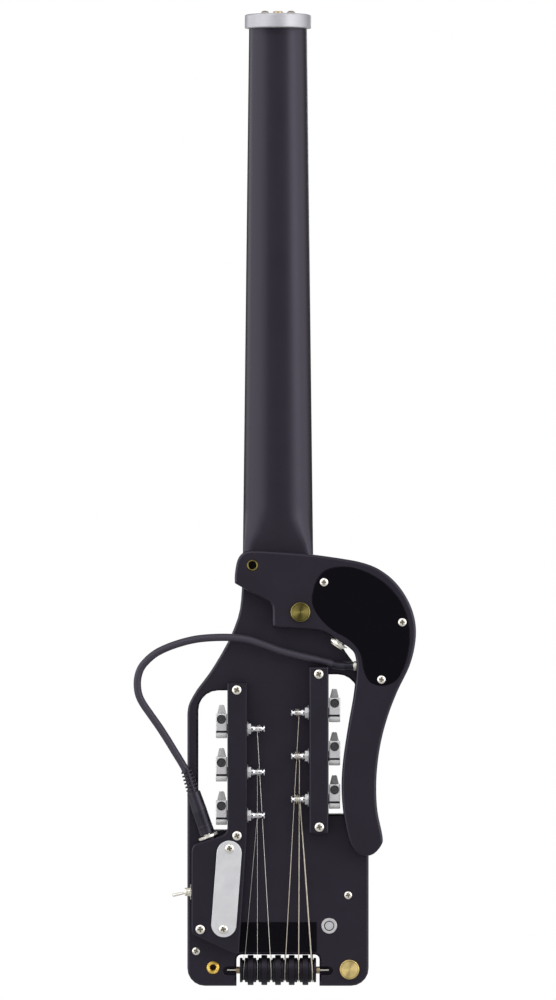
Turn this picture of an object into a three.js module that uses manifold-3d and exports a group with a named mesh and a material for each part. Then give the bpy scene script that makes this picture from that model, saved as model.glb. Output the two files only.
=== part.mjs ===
// Travel guitar: a headless slab body whose strings turn round tail rollers to tuners on its back.
// Sizes are millimetres. The guitar is drawn with its tail end at z = 0, +Z along the neck, its
// back at y = 0 facing -Y and its playing side facing +Y, and then hung by its head cap: the
// origin is the middle of the cap's underside, where a hanger's yoke takes the neck.
import * as THREE from "three";
import { mergeVertices } from "three/addons/utils/BufferGeometryUtils.js";
import Module from "manifold-3d";

const wasm = await Module();
wasm.setup();

// Clearances
const gap = 0.3;
const backlash = 0.34;
const overrun = 3;
const weld = 1e-4;

// Driving sizes
const body = {
  width: 132.2,
  thickness: 18,
  corner_radius: 12.8,
  edge: 1.4,
  shoulder_drop: 17.4,
  shoulder_height: 102,
  shoulder_shift: 14.6,
};
const body_window = {
  side_wall: 7.9,
  inner: 31,
  foot: 113.6,
  height: 101.8,
  large_radius: 14.6,
  small_radius: 4,
};
const notch = { width: 60.6, height: 22.8, radius: 3.6, ramp_height: 11.2, ramp_depth: 3 };
const neck = {
  end_height: 699,
  nut_width: 42.4,
  heel_width: 51.4,
  apex_inset: 1,
  heel_run: 34,
  roundness: 2.3,
  heel_roundness: 9,
};
const truss = { rod_radius: 2.5, depth: 12.3, foot: 262, nut_radius: 3.35, proud: 2 };
const fret_count = 22;
const fretboard = { thickness: 5.5, tail: 5.8, fret_height: 1.1, fret_width: 2.2, fret_inset: 0.6 };
const nut = { thickness: 4, height: 7.9, string_pitch: 7 };
const cap = { radius: 24.25, height: 9.8, edge: 1.1, axis_depth: 12.3 };
const bridge = {
  inset: 10.1,
  foot: 40,
  top: 73,
  tail_thickness: 2.2,
  saddle_thickness: 7.4,
  horn: 15,
};
const saddle = { height: 66.35, width: 66, thickness: 2.6, bedded: 4.8 };
const bolt = {
  share: 0.5643,
  height: 43.9,
  washer_radius: 5.7,
  washer: 1,
  head_radius: 3.15,
  head: 3.2,
  shank: 2.4,
};
const pickup = {
  width: 72,
  height: 36,
  bedded: 9,
  proud: 6.6,
  blade: 1,
  blade_width: 3,
  blade_pitch: 18,
};
const strings = {
  radii: [0.114, 0.14, 0.203, 0.305, 0.406, 0.533],
  nut_depth: 25.6,
  saddle_depth: 28,
  anchor_depth: 24.4,
  ball_radius: 1.9,
  ball_length: 3,
  ball_height: 4.8,
  turns: 2.3,
  wrap_gap: 0.45,
};
const rail = { inner: 22.7, outer: 36.8, height: 20, above: 33.5, below: 24.8, edge: 0.8 };
const tuner = {
  rise: 11.2,
  headroom: 27.6,
  stagger: 11.7,
  depth: 10,
  width: 8.1,
  back_radius: 6.9,
  top: 10.9,
  front_wall: 2,
};
const gear = {
  teeth: 14,
  worm_distance: 7.1,
  worm_radius: 2,
  face: 3.2,
  addendum: 0.6,
  dedendum: 0.95,
};
const worm = {
  turns: 2.3,
  journal_radius: 3.05,
  journal: 2.3,
  collar: 0.8,
  shaft_radius: 1.6,
  handedness: 1,
};
const button = {
  length: 19.4,
  depth: 10.5,
  width: 6.3,
  tip_width: 3.7,
  shoulder: 7.6,
  edge: 0.5,
  inset: 1.2,
};
const post = {
  radius: 2.5,
  waist: 2.1,
  flare: 2.9,
  spool: 9.7,
  flare_length: 1.1,
  cone_length: 1.3,
};
const bushing = { radius: 3.7, hex_radius: 5.35, hex: 3 };
const roller = {
  pitch: 10,
  depth: 6.7,
  height: 11.2,
  rim: 8.95,
  groove: 7.4,
  width: 5.4,
  rim_width: 0.8,
  groove_floor: 1.4,
};
const axle = { radius: 1.6, length: 74.6, slot: 6.6, slot_end: 40.3 };
const guard = { radius: 10.5, width: 4, edge: 0.5 };
const block = {
  inset: 3.3,
  side_foot: 40.2,
  side_top: 98,
  tail_x: 33.8,
  tail_z: 25.7,
  foot_x: 28.6,
  foot_z: 24.7,
  waist_x: 26.8,
  waist_z: 52.7,
  neck_z: 112.2,
  corner: 1.8,
};
const seat = { share: 0.5885, z: 106.6, tilt: 17, length_share: 0.5846, fillet: 0.88 };
const jack = { barrel: 4.6, depth: 15, nut_radius: 6.05, nut: 2.5, bore: 3.35, wall: 1.2 };
const plug = {
  shank: 3,
  shank_length: 13,
  collar: 3.9,
  collar_length: 2.2,
  sleeve: 5.1,
  sleeve_foot: 4.7,
  sleeve_length: 30,
};
const relief = { length: 16.2, foot: 4.5, tip: 3.2, ribs: 7, groove: 0.6 };
const plate = { width: 18.2, length: 70.3, thickness: 1.6, x: 37.4, z: 71.8, tilt: 4.3 };
const felt = { thickness: 1, foot: 24.7, top: 46.5, margin: 3.4 };
const toggle = {
  z: 69.1,
  bushing: 3.1,
  length: 4.8,
  washer: 5.8,
  washer_thickness: 0.9,
  barrel: 8,
  bore: 2.25,
  pivot: 1.9,
};
const lever = { ball: 1.85, root: 0.75, tip: 1.25, length: 12.5, rest: 12 };
const insert = { share: 0.2752, z: 13.3, radius: 4.55, bore: 2.35, length: 11.6, proud: 0.3 };
const thumbscrew = { radius: 7.15, head: 4.4, edge: 0.7, shank: 2.6, reach: 11 };
const body_screw = { share: 0.4574, z: 12.1 };
const arm = {
  pivot_x: 16.3,
  below_heel: 27.1,
  left: 47.8,
  right: 84.1,
  rise: 44.7,
  drop: 177.4,
  thickness: 19.7,
  edge: 3.2,
};
const arm_cover = { thickness: 2, recess: 1.8 };
const arm_ring = { radius: 3.95, bore: 3 };
const output = {
  turn: -146.4,
  seat: 9,
  barrel: 4.6,
  depth: 14,
  washer: 7.5,
  washer_thickness: 1,
  nut: 6.3,
  nut_thickness: 2.2,
  thread: 1.2,
  bore: 3.3,
};
const mini = {
  turn: -90,
  seat: 4.5,
  ring: 3.5,
  ring_thickness: 2.1,
  barrel: 2.7,
  depth: 12,
  bore: 2.05,
};
const mini_plug = {
  shank: 1.7,
  shank_length: 10,
  sleeve: 2.95,
  sleeve_foot: 2.6,
  sleeve_length: 10.4,
};
const knob = {
  radius: 9,
  height: 12,
  skirt: 3,
  top_radius: 7.6,
  shaft: 3,
  shaft_depth: 8.4,
  standoff: 0.9,
};
const cable = { radius: 2.6, standoff: 0.8 };

// Outlines as shares of the sizes that they follow
const shoulder_shares = [
  [1, 0], [0.99, 0.04], [0.953, 0.088], [0.822, 0.175], [0.654, 0.26], [0.504, 0.346],
  [0.252, 0.518], [0.077, 0.689], [0.02, 0.82], [0, 1],
];
const arm_edge_shares = [
  [0.001, 0.893], [0.001, 0.922], [0.014, 0.966], [0.043, 0.991], [0.09, 1], [0.244, 0.996],
  [0.438, 0.986], [0.615, 0.971], [0.711, 0.959], [0.792, 0.94], [0.87, 0.906], [0.932, 0.861],
  [0.976, 0.809], [0.998, 0.752], [0.993, 0.689], [0.962, 0.62], [0.898, 0.541], [0.847, 0.463],
  [0.81, 0.384], [0.788, 0.305], [0.78, 0.226], [0.787, 0.147], [0.814, 0.068], [0.811, 0.039],
  [0.77, 0.009], [0.72, 0], [0.675, 0.008], [0.637, 0.039], [0.607, 0.108], [0.59, 0.206],
  [0.597, 0.305], [0.626, 0.423], [0.657, 0.528], [0.671, 0.614], [0.664, 0.656], [0.637, 0.679],
  [0.565, 0.708], [0.499, 0.732], [0.416, 0.742], [0.21, 0.749],
];
const arm_hollow_shares = [[0.21, 0.801], [0.207, 0.817], [0.192, 0.832], [0.156, 0.843], [0.05, 0.876]];
const cover_shares = [
  [0.424, 0.851], [0.446, 0.898], [0.499, 0.936], [0.602, 0.948], [0.711, 0.934], [0.826, 0.895],
  [0.914, 0.837], [0.956, 0.776], [0.967, 0.72], [0.958, 0.668], [0.931, 0.615], [0.887, 0.573],
  [0.814, 0.557], [0.746, 0.569], [0.71, 0.608], [0.69, 0.664], [0.638, 0.704], [0.535, 0.741],
  [0.464, 0.783], [0.429, 0.821],
];
const arm_ring_shares = [0.098, 0.952];
const output_shares = [0.565, 0.708];
const mini_shares = [0.671, 0.622];
const knob_shares = [[0.681, 0.837], [0.847, 0.719]];

// Patch cable's route from the arm's mini plug (0, 0) to the block's large plug (1, 1): shares of the
// way across, of the depth behind the middle of the tuners, and of the way down
const cable_route_shares = [
  [0, 0, 0], [0.019, 0, -0.0035], [0.0496, 0, -0.0301], [0.1155, 0.04, -0.0602],
  [0.1877, 0.1, -0.0881], [0.2663, 0.15, -0.1136], [0.3782, 0.2, -0.1565], [0.4901, 0.23, -0.2084],
  [0.5975, 0.24, -0.2512], [0.7076, 0.24, -0.2681], [0.8196, 0.23, -0.2668], [0.9252, 0.2, -0.2525],
  [1.0172, 0.17, -0.2227], [1.1156, 0.13, -0.1747], [1.195, 0.1, -0.1175], [1.251, 0.07, -0.0513],
  [1.2925, 0.05, 0.024], [1.3133, 0.03, 0.1187], [1.3142, 0.02, 0.2135], [1.3025, 0.01, 0.2888],
  [1.2781, 0, 0.3589], [1.2302, 0, 0.4589], [1.1725, 0, 0.577], [1.1165, 0, 0.7016],
  [1.0687, 0, 0.8197], [1.0308, 0, 0.9197], [1, 0, 1],
];
const cable_steps = 24;

// Facets
const sides = { fine: 32, round: 16, wheel: 14, shaft: 10, bore: 10, hex: 6, string: 5, cable: 10 };

// Heights that follow from the sizes
const neck_top = neck.end_height;
const nut_foot = neck_top - nut.thickness;
const scale_length = nut_foot - saddle.height;
const pickup_middle = (bridge.top + body_window.foot) / 2;
const fretboard_foot = nut_foot - scale_length * (1 - 2 ** (-fret_count / 12)) - fretboard.tail;
const side_height = body_window.foot + body_window.height - body.shoulder_drop;
const left_heel = side_height + body.shoulder_height;
const heel = left_heel + body.shoulder_shift;
const pivot_z = left_heel - arm.below_heel;
const arm_front = -gap;
const arm_back = arm_front - arm.thickness;
const mid_depth = -tuner.depth;
const rows = strings.radii.length / 2;
const tuner_pitch = (body_window.height - tuner.rise - tuner.headroom) / (rows - 1);

// Places across the slab, from its middle
const block_left = body.width / 2 - block.inset;
const seat_x = THREE.MathUtils.lerp(rail.outer, block_left, seat.share);
const seat_length = (block_left - rail.outer) * seat.length_share;
const insert_x = THREE.MathUtils.lerp(axle.slot_end, body.width / 2, insert.share);
const bolt_x = (body.width / 2) * bolt.share;
const felt_half = bolt_x - bolt.washer_radius - felt.margin;
const body_screw_x = THREE.MathUtils.lerp(axle.slot_end, body.width / 2, body_screw.share);

const finishes = {
  satin_black: new THREE.MeshStandardMaterial({ color: 0x2b2a2f, roughness: 0.55, metalness: 0 }),
  gloss_black: new THREE.MeshStandardMaterial({ color: 0x0c0b10, roughness: 0.12, metalness: 0 }),
  ebony: new THREE.MeshStandardMaterial({ color: 0x1d1715, roughness: 0.5, metalness: 0 }),
  bone: new THREE.MeshStandardMaterial({ color: 0xe2dcc8, roughness: 0.4, metalness: 0 }),
  aluminium: new THREE.MeshStandardMaterial({ color: 0xc9c9cd, roughness: 0.32, metalness: 1 }),
  nickel: new THREE.MeshStandardMaterial({ color: 0xcfccc4, roughness: 0.22, metalness: 1 }),
  chrome: new THREE.MeshStandardMaterial({ color: 0xd7d8dc, roughness: 0.1, metalness: 1 }),
  steel: new THREE.MeshStandardMaterial({ color: 0xb4b1aa, roughness: 0.3, metalness: 1 }),
  brass: new THREE.MeshStandardMaterial({ color: 0xb5963f, roughness: 0.28, metalness: 1 }),
  felt: new THREE.MeshStandardMaterial({ color: 0x121115, roughness: 1, metalness: 0 }),
  acetal: new THREE.MeshStandardMaterial({ color: 0x19181b, roughness: 0.4, metalness: 0 }),
  rubber: new THREE.MeshStandardMaterial({ color: 0x1c1c20, roughness: 0.75, metalness: 0 }),
};

const guitar = new THREE.Group();
guitar.name = "travel_guitar";
guitar.position.set(0, -cap.axis_depth, -neck_top);

// Solids

function asSolid(geometry) {
  const bare = geometry.clone();
  for (const name of Object.keys(bare.attributes)) {
    if (name !== "position") bare.deleteAttribute(name);
  }
  const merged = mergeVertices(bare, weld);
  const corners = merged.attributes.position;
  const index = merged.index.array;
  const triangles = [];
  const [a, b, c] = [new THREE.Vector3(), new THREE.Vector3(), new THREE.Vector3()];
  let volume = 0;
  for (let i = 0; i < index.length; i += 3) {
    const [p, q, r] = [index[i], index[i + 1], index[i + 2]];
    if (p === q || q === r || r === p) continue;
    triangles.push(p, q, r);
    a.fromBufferAttribute(corners, p);
    b.fromBufferAttribute(corners, q);
    c.fromBufferAttribute(corners, r);
    volume += a.dot(b.cross(c));
  }
  if (volume < 0) triangles.reverse();
  return new wasm.Manifold(
    new wasm.Mesh({
      numProp: 3,
      vertProperties: new Float32Array(corners.array),
      triVerts: new Uint32Array(triangles),
    }),
  );
}

function asGeometry(solid) {
  const { vertProperties, triVerts } = solid.getMesh();
  const geometry = new THREE.BufferGeometry();
  geometry.setAttribute("position", new THREE.BufferAttribute(new Float32Array(vertProperties), 3));
  geometry.setIndex(new THREE.BufferAttribute(new Uint32Array(triVerts), 1));
  geometry.computeVertexNormals();
  return geometry;
}

const join = (first, ...others) =>
  asGeometry(others.reduce((whole, g) => whole.add(asSolid(g)), asSolid(first)));
const cut = (first, ...others) =>
  asGeometry(others.reduce((whole, g) => whole.subtract(asSolid(g)), asSolid(first)));
const common = (first, second) => asGeometry(asSolid(first).intersect(asSolid(second)));

function add(name, geometry, finish, parent = guitar) {
  const mesh = new THREE.Mesh(asGeometry(asSolid(geometry)), finishes[finish].clone());
  mesh.name = name;
  parent.add(mesh);
  return mesh;
}

// Shapes

const point = (x, z) => new THREE.Vector2(x, z);
const radians = THREE.MathUtils.degToRad;
const blend = THREE.MathUtils.lerp;

function arc(x, z, radius, from, to, steps) {
  const curve = new THREE.EllipseCurve(x, z, radius, radius, radians(from), radians(to), to < from);
  return curve.getPoints(steps);
}

// An outline in x and z, extruded through the depth from y = back to y = front.
function slab(outline, back, front, edge = 0, holes = [], edgeSteps = 2) {
  const shape = new THREE.Shape(outline);
  shape.holes = holes.map((hole) => new THREE.Path(hole));
  const geometry = new THREE.ExtrudeGeometry(shape, {
    depth: front - back - 2 * edge,
    bevelEnabled: edge > 0,
    bevelThickness: edge,
    bevelSize: edge,
    bevelOffset: -edge,
    bevelSegments: edgeSteps,
    steps: 1,
  });
  return geometry.translate(0, 0, edge - front + back).rotateX(Math.PI / 2).translate(0, back, 0);
}

// An outline in y and z, extruded along x.
function crosswise(outline, left, right, edge = 0) {
  const geometry = new THREE.ExtrudeGeometry(new THREE.Shape(outline), {
    depth: right - left - 2 * edge,
    bevelEnabled: edge > 0,
    bevelThickness: edge,
    bevelSize: edge,
    bevelOffset: -edge,
    bevelSegments: 1,
    steps: 1,
  });
  const turn = new THREE.Matrix4().makeBasis(
    new THREE.Vector3(0, 1, 0),
    new THREE.Vector3(0, 0, 1),
    new THREE.Vector3(1, 0, 0),
  );
  return geometry.translate(0, 0, edge).applyMatrix4(turn).translate(left, 0, 0);
}

function box(low, high) {
  const size = high.map((value, i) => value - low[i]);
  const middle = high.map((value, i) => (value + low[i]) / 2);
  return new THREE.BoxGeometry(...size).translate(...middle);
}

// A turned piece: [place along its axis, radius] pairs, with its axis along x, y or z.
function turned(profile, axis, facets) {
  const lathe = new THREE.LatheGeometry(profile.map(([along, radius]) => point(radius, along)), facets);
  lathe.rotateY(Math.PI / facets);
  if (axis === "x") lathe.rotateZ(-Math.PI / 2);
  if (axis === "z") lathe.rotateX(Math.PI / 2);
  return lathe;
}

const rod = (radius, from, to, axis, facets) =>
  turned([[from, 0], [from, radius], [to, radius], [to, 0]], axis, facets);

// A hole's corner radius that leaves the clearance at the middle of its flats.
const clearing = (radius, facets, clearance = gap) => (radius + clearance) / Math.cos(Math.PI / facets);

// A round recess along z for a socket's barrel, open at its seat.
const socket = (barrel, depth, facets) =>
  rod(clearing(barrel, facets), -depth - gap, overrun, "z", facets);

// Rings of equally many points, joined in order and closed at both ends.
function loft(rings) {
  const count = rings[0].length;
  const corners = rings.flat();
  const triangles = [];
  for (let r = 0; r + 1 < rings.length; r += 1) {
    for (let i = 0; i < count; i += 1) {
      const [a, b] = [r * count + i, r * count + ((i + 1) % count)];
      triangles.push(a, b, b + count, a, b + count, a + count);
    }
  }
  for (const [ring, start] of [[rings[0], 0], [rings.at(-1), corners.length - count]]) {
    const middle = ring.reduce((sum, p) => sum.add(p), new THREE.Vector3()).divideScalar(count);
    corners.push(middle);
    for (let i = 0; i < count; i += 1) {
      const [a, b] = [start + i, start + ((i + 1) % count)];
      if (start === 0) triangles.push(b, a, corners.length - 1);
      else triangles.push(a, b, corners.length - 1);
    }
  }
  const geometry = new THREE.BufferGeometry().setFromPoints(corners);
  geometry.setIndex(triangles);
  return geometry;
}

// A tube through [place, radius] stations, whose section turns as little as it can.
function tube(stations, facets) {
  const places = stations.map(([place]) => place);
  const last = places.length - 1;
  const ahead = (i) =>
    places[Math.min(i + 1, last)].clone().sub(places[Math.max(i - 1, 0)]).normalize();
  let across = new THREE.Vector3(1, 0, 0);
  const rings = stations.map(([place, radius], i) => {
    const along = ahead(i);
    across.addScaledVector(along, -across.dot(along)).normalize();
    const up = new THREE.Vector3().crossVectors(along, across);
    return Array.from({ length: facets }, (_, k) => {
      const turn = (2 * Math.PI * k) / facets;
      return place
        .clone()
        .addScaledVector(across, radius * Math.cos(turn))
        .addScaledVector(up, radius * Math.sin(turn));
    });
  });
  return loft(rings);
}

function placed(geometry, group) {
  group.updateMatrix();
  return geometry.clone().applyMatrix4(group.matrix);
}

function mirrored(geometry) {
  return geometry.clone().scale(-1, 1, 1);
}

const sideOf = (side, geometry) => (side < 0 ? geometry : mirrored(geometry));

// Body and neck

const neckHalf = (z) => blend(neck.heel_width, neck.nut_width, (z - heel) / (neck_top - heel)) / 2;

function shoulder(side) {
  const foot = side_height + (side > 0 ? body.shoulder_shift : 0);
  const line = shoulder_shares.map(([across, up]) => {
    const z = foot + up * body.shoulder_height;
    return point(side * blend(neckHalf(z), body.width / 2, across), z);
  });
  return new THREE.SplineCurve(line).getPoints(2 * (shoulder_shares.length - 1));
}

function bodyOutline() {
  const half = body.width / 2;
  const round = body.corner_radius;
  const [gate, roof] = [notch.width / 2, notch.height];
  return [
    point(gate, 0),
    ...arc(half - round, round, round, -90, 0, 5),
    ...shoulder(1),
    point(-neckHalf(heel), heel),
    ...shoulder(-1).reverse(),
    ...arc(-half + round, round, round, 180, 270, 5),
    point(-gate, 0),
    ...arc(-gate + notch.radius, roof - notch.radius, notch.radius, 180, 90, 3),
    ...arc(gate - notch.radius, roof - notch.radius, notch.radius, 90, 0, 3),
  ];
}

function windowOutline(side) {
  const foot = body_window.foot + (side > 0 ? tuner.stagger : 0);
  const top = foot + body_window.height;
  const { inner, large_radius: large, small_radius: small } = body_window;
  const outer = body.width / 2 - body_window.side_wall;
  const line = [
    ...arc(-outer + large, top - large, large, 180, 90, 5),
    ...arc(-inner - small, top - small, small, 90, 0, 2),
    ...arc(-inner - small, foot + small, small, 0, -90, 2),
    ...arc(-outer + small, foot + small, small, -90, -180, 2),
  ];
  return line.map((p) => point(-side * p.x, p.y));
}

// A neck's section: flat under the fretboard, and round at the back with a given fullness.
function neckRing(z, half, front, depth, fullness) {
  const steps = 14;
  return Array.from({ length: steps + 1 }, (_, i) => {
    const turn = (Math.PI * i) / steps;
    const [c, s] = [Math.cos(turn), Math.sin(turn)];
    const x = half * Math.sign(c) * Math.abs(c) ** (2 / fullness);
    return new THREE.Vector3(Math.abs(c) < weld ? 0 : x, front - depth * Math.abs(s) ** (2 / fullness), z);
  });
}

function neckLoft() {
  const front = body.thickness;
  const full = body.thickness - neck.apex_inset;
  const sunk = body.edge;
  const rings = [
    neckRing(
      heel - neck.heel_run / 3,
      neckHalf(heel) - sunk,
      front - sunk,
      front - 2 * sunk,
      neck.heel_roundness,
    ),
    neckRing(heel, neckHalf(heel), front, front - sunk / 4, neck.heel_roundness),
  ];
  const steps = 4;
  for (let i = 1; i <= steps; i += 1) {
    const ease = (1 - Math.cos((Math.PI * i) / steps)) / 2;
    const z = heel + (neck.heel_run * i) / steps;
    const fullness = 1 / blend(1 / neck.heel_roundness, 1 / neck.roundness, ease);
    rings.push(neckRing(z, neckHalf(z), front, blend(front - sunk / 4, full, ease), fullness));
  }
  const top = neck_top - gap;
  rings.push(neckRing(top, neckHalf(top), front, full, neck.roundness));
  return loft(rings);
}

function stadium(x0, x1, z, width, steps) {
  const half = width / 2;
  return [...arc(x0 + half, z, half, 90, 270, steps), ...arc(x1 - half, z, half, -90, 90, steps)];
}

const insertHole = () =>
  rod(clearing(insert.radius, sides.round), -overrun, insert.length + gap, "y", sides.round);
const screwHole = () =>
  rod(clearing(thumbscrew.shank, sides.shaft), -overrun, thumbscrew.reach + gap, "y", sides.shaft);

const slot_floor = roller.depth + axle.radius + gap;
const slab_front = body.thickness + overrun;
const pocket = { half_width: pickup.width / 2 + gap, half_height: pickup.height / 2 + gap };
const channel = truss.rod_radius + gap;
const stringRamp = () =>
  crosswise(
    [
      point(body.thickness - notch.ramp_depth, notch.height - overrun),
      point(body.thickness - notch.ramp_depth, notch.height),
      point(body.thickness, notch.height + notch.ramp_height),
      point(slab_front, notch.height + notch.ramp_height),
      point(slab_front, notch.height - overrun),
    ],
    notch.radius - notch.width / 2,
    notch.width / 2 - notch.radius,
  );

const boltHole = (back, front) =>
  rod(clearing(bolt.shank, sides.shaft), back, front, "y", sides.shaft).translate(bolt_x, 0, bolt.height);

add(
  "body_and_neck",
  cut(
    join(
      slab(bodyOutline(), 0, body.thickness, body.edge, [windowOutline(-1), windowOutline(1)], 1),
      neckLoft(),
    ),
    slab(stadium(-axle.slot_end, axle.slot_end, roller.height, axle.slot, 4), -overrun, slot_floor),
    stringRamp(),
    box(
      [-pocket.half_width, body.thickness - pickup.bedded - gap, pickup_middle - pocket.half_height],
      [pocket.half_width, slab_front, pickup_middle + pocket.half_height],
    ),
    box([-channel, truss.depth - channel, truss.foot - gap], [channel, slab_front, neck_top + overrun]),
    boltHole(-overrun, slab_front),
    insertHole().translate(-insert_x, 0, insert.z),
    screwHole().translate(body_screw_x, 0, body_screw.z),
    screwHole().translate(arm.pivot_x, 0, pivot_z),
  ),
  "satin_black",
);

// Fretboard, nut and head cap

function fretboardGeometry() {
  const back = body.thickness + gap;
  const front = body.thickness + fretboard.thickness;
  const end = (z) => [
    new THREE.Vector3(-neckHalf(z), back, z),
    new THREE.Vector3(neckHalf(z), back, z),
    new THREE.Vector3(neckHalf(z), front, z),
    new THREE.Vector3(-neckHalf(z), front, z),
  ];
  const top = nut_foot - gap;
  const pieces = Array.from({ length: fret_count }, (_, i) => {
    const z = nut_foot - scale_length * (1 - 2 ** (-(i + 1) / 12));
    const half = neckHalf(z) - fretboard.fret_inset;
    const [w, h] = [fretboard.fret_width / 2, fretboard.fret_height];
    const crown = [
      point(front - h, z - w), point(front, z - w), point(front + h, z - w / 3),
      point(front + h, z + w / 3), point(front, z + w), point(front - h, z + w),
    ];
    return crosswise(crown, -half, half);
  });
  return join(loft([end(fretboard_foot), end(top)]), ...pieces);
}

add("fretboard", fretboardGeometry(), "ebony");

const nut_string_x = (i) => (i - (strings.radii.length - 1) / 2) * nut.string_pitch;
const roller_x = (i) => (i - (strings.radii.length - 1) / 2) * roller.pitch;
const string_depth = (z) =>
  blend(strings.saddle_depth, strings.nut_depth, (z - saddle.height) / scale_length);

add(
  "nut",
  cut(
    box(
      [-neckHalf(neck_top), body.thickness + gap, nut_foot],
      [neckHalf(neck_top), body.thickness + nut.height, neck_top - gap],
    ),
    ...strings.radii.map((radius, i) =>
      box(
        [nut_string_x(i) - radius - gap, strings.nut_depth - radius - gap, nut_foot - overrun],
        [nut_string_x(i) + radius + gap, strings.nut_depth + overrun, neck_top + overrun],
      ),
    ),
  ),
  "bone",
);

function capGeometry() {
  const { radius, height, edge } = cap;
  const disc = turned(
    [
      [0, 0], [0, radius - edge], [edge, radius],
      [height - edge, radius], [height, radius - edge], [height, 0],
    ],
    "z",
    sides.fine,
  ).translate(0, cap.axis_depth, neck_top);
  const slot = strings.radii.at(-1) + gap;
  const holes = strings.radii.flatMap((_, i) => [
    box(
      [nut_string_x(i) - slot, strings.anchor_depth - slot, neck_top - overrun],
      [nut_string_x(i) + slot, strings.nut_depth + slot, neck_top + strings.ball_height],
    ),
    rod(
      clearing(strings.ball_radius, sides.shaft),
      strings.ball_height - gap,
      height + overrun,
      "z",
      sides.shaft,
    )
      .translate(nut_string_x(i), strings.anchor_depth, neck_top),
  ]);
  const rod_bore = clearing(truss.rod_radius, sides.shaft);
  const rodHole = rod(rod_bore, -overrun, height + overrun, "z", sides.shaft);
  return cut(disc, rodHole.translate(0, truss.depth, neck_top), ...holes);
}

add("head_cap", capGeometry(), "aluminium");

add(
  "truss_rod",
  turned(
    [
      [truss.foot, 0],
      [truss.foot, truss.rod_radius],
      [neck_top + cap.height + gap, truss.rod_radius],
      [neck_top + cap.height + gap, truss.nut_radius],
      [neck_top + cap.height + truss.proud, truss.nut_radius],
      [neck_top + cap.height + truss.proud, 0],
    ],
    "z",
    sides.shaft,
  ).translate(0, truss.depth, 0),
  "brass",
);

// Bridge, saddle, pickup and bridge bolt

const bridge_back = body.thickness + gap;

function bridgeGeometry() {
  const { inset, foot, top, tail_thickness: thin, saddle_thickness: thick, horn } = bridge;
  const half = body.width / 2 - inset;
  const crest = saddle.height - 2 * saddle.thickness;
  const side = [
    point(bridge_back, foot),
    point(bridge_back + thin, foot),
    point(bridge_back + thick, crest),
    point(bridge_back + thick, saddle.height + saddle.thickness),
    point(bridge_back + blend(thin, thick, 1 / 2), top),
    point(bridge_back, top),
  ];
  const middle = (foot + top) / 2;
  const belly = [
    point(-half, middle - horn / 2),
    ...new THREE.QuadraticBezierCurve(
      point(-half + horn, foot),
      point(0, foot - horn / 8),
      point(half - horn, foot),
    ).getPoints(4),
    point(half, middle - horn / 2),
    point(half, middle + horn / 2),
    point(half - horn, top),
    point(-half + horn, top),
    point(-half, middle + horn / 2),
  ];
  const saddle_half = saddle.width / 2 + gap;
  return cut(
    common(crosswise(side, -half, half), slab(belly, body.thickness - overrun, slab_front + thick)),
    box(
      [-saddle_half, bridge_back + thick - saddle.bedded - gap, saddle.height - saddle.thickness / 2 - gap],
      [saddle_half, bridge_back + thick + overrun, saddle.height + saddle.thickness / 2 + gap],
    ),
    boltHole(body.thickness - overrun, bridge_back + thick + overrun),
  );
}

add("bridge", bridgeGeometry(), "ebony");

const saddle_crest = strings.saddle_depth - strings.radii.at(-1) - gap;
add(
  "saddle",
  crosswise(
    [
      point(bridge_back + bridge.saddle_thickness - saddle.bedded, saddle.height - saddle.thickness / 2),
      point(saddle_crest - saddle.thickness / 3, saddle.height - saddle.thickness / 2),
      point(saddle_crest, saddle.height - saddle.thickness / 6),
      point(saddle_crest, saddle.height + saddle.thickness / 6),
      point(saddle_crest - saddle.thickness / 3, saddle.height + saddle.thickness / 2),
      point(bridge_back + bridge.saddle_thickness - saddle.bedded, saddle.height + saddle.thickness / 2),
    ],
    -saddle.width / 2,
    saddle.width / 2,
  ),
  "bone",
);

function pickupGeometry() {
  const [back, front] = [body.thickness - pickup.bedded, body.thickness + pickup.proud];
  const corner = pickup.height / 8;
  const [half, rise] = [pickup.width / 2, pickup.height / 2];
  const outline = [
    ...arc(half - corner, rise - corner, corner, 0, 90, 3),
    ...arc(corner - half, rise - corner, corner, 90, 180, 3),
    ...arc(corner - half, corner - rise, corner, 180, 270, 3),
    ...arc(half - corner, corner - rise, corner, 270, 360, 3),
  ];
  const blades = [-1, 1].map((end) => {
    const z = (end * pickup.blade_pitch) / 2;
    return box(
      [-half + 2 * corner, front - pickup.blade, z - pickup.blade_width / 2],
      [half - 2 * corner, front + pickup.blade, z + pickup.blade_width / 2],
    );
  });
  return join(slab(outline, back, front), ...blades).translate(0, 0, pickup_middle);
}

add("pickup", pickupGeometry(), "gloss_black");

add(
  "bridge_bolt",
  turned(
    [
      [-gap - bolt.washer - bolt.head, 0],
      [-gap - bolt.washer - bolt.head, bolt.head_radius - gap],
      [-gap - bolt.washer - bolt.head + gap, bolt.head_radius],
      [-gap - bolt.washer, bolt.head_radius],
      [-gap - bolt.washer, bolt.washer_radius],
      [-gap, bolt.washer_radius],
      [-gap, bolt.shank],
      [body.thickness + bridge.tail_thickness, bolt.shank],
      [body.thickness + bridge.tail_thickness, 0],
    ],
    "y",
    sides.wheel,
  ).translate(bolt_x, 0, bolt.height),
  "nickel",
);

// Tail rollers on their axle

const guard_count = strings.radii.length - 1;

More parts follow.
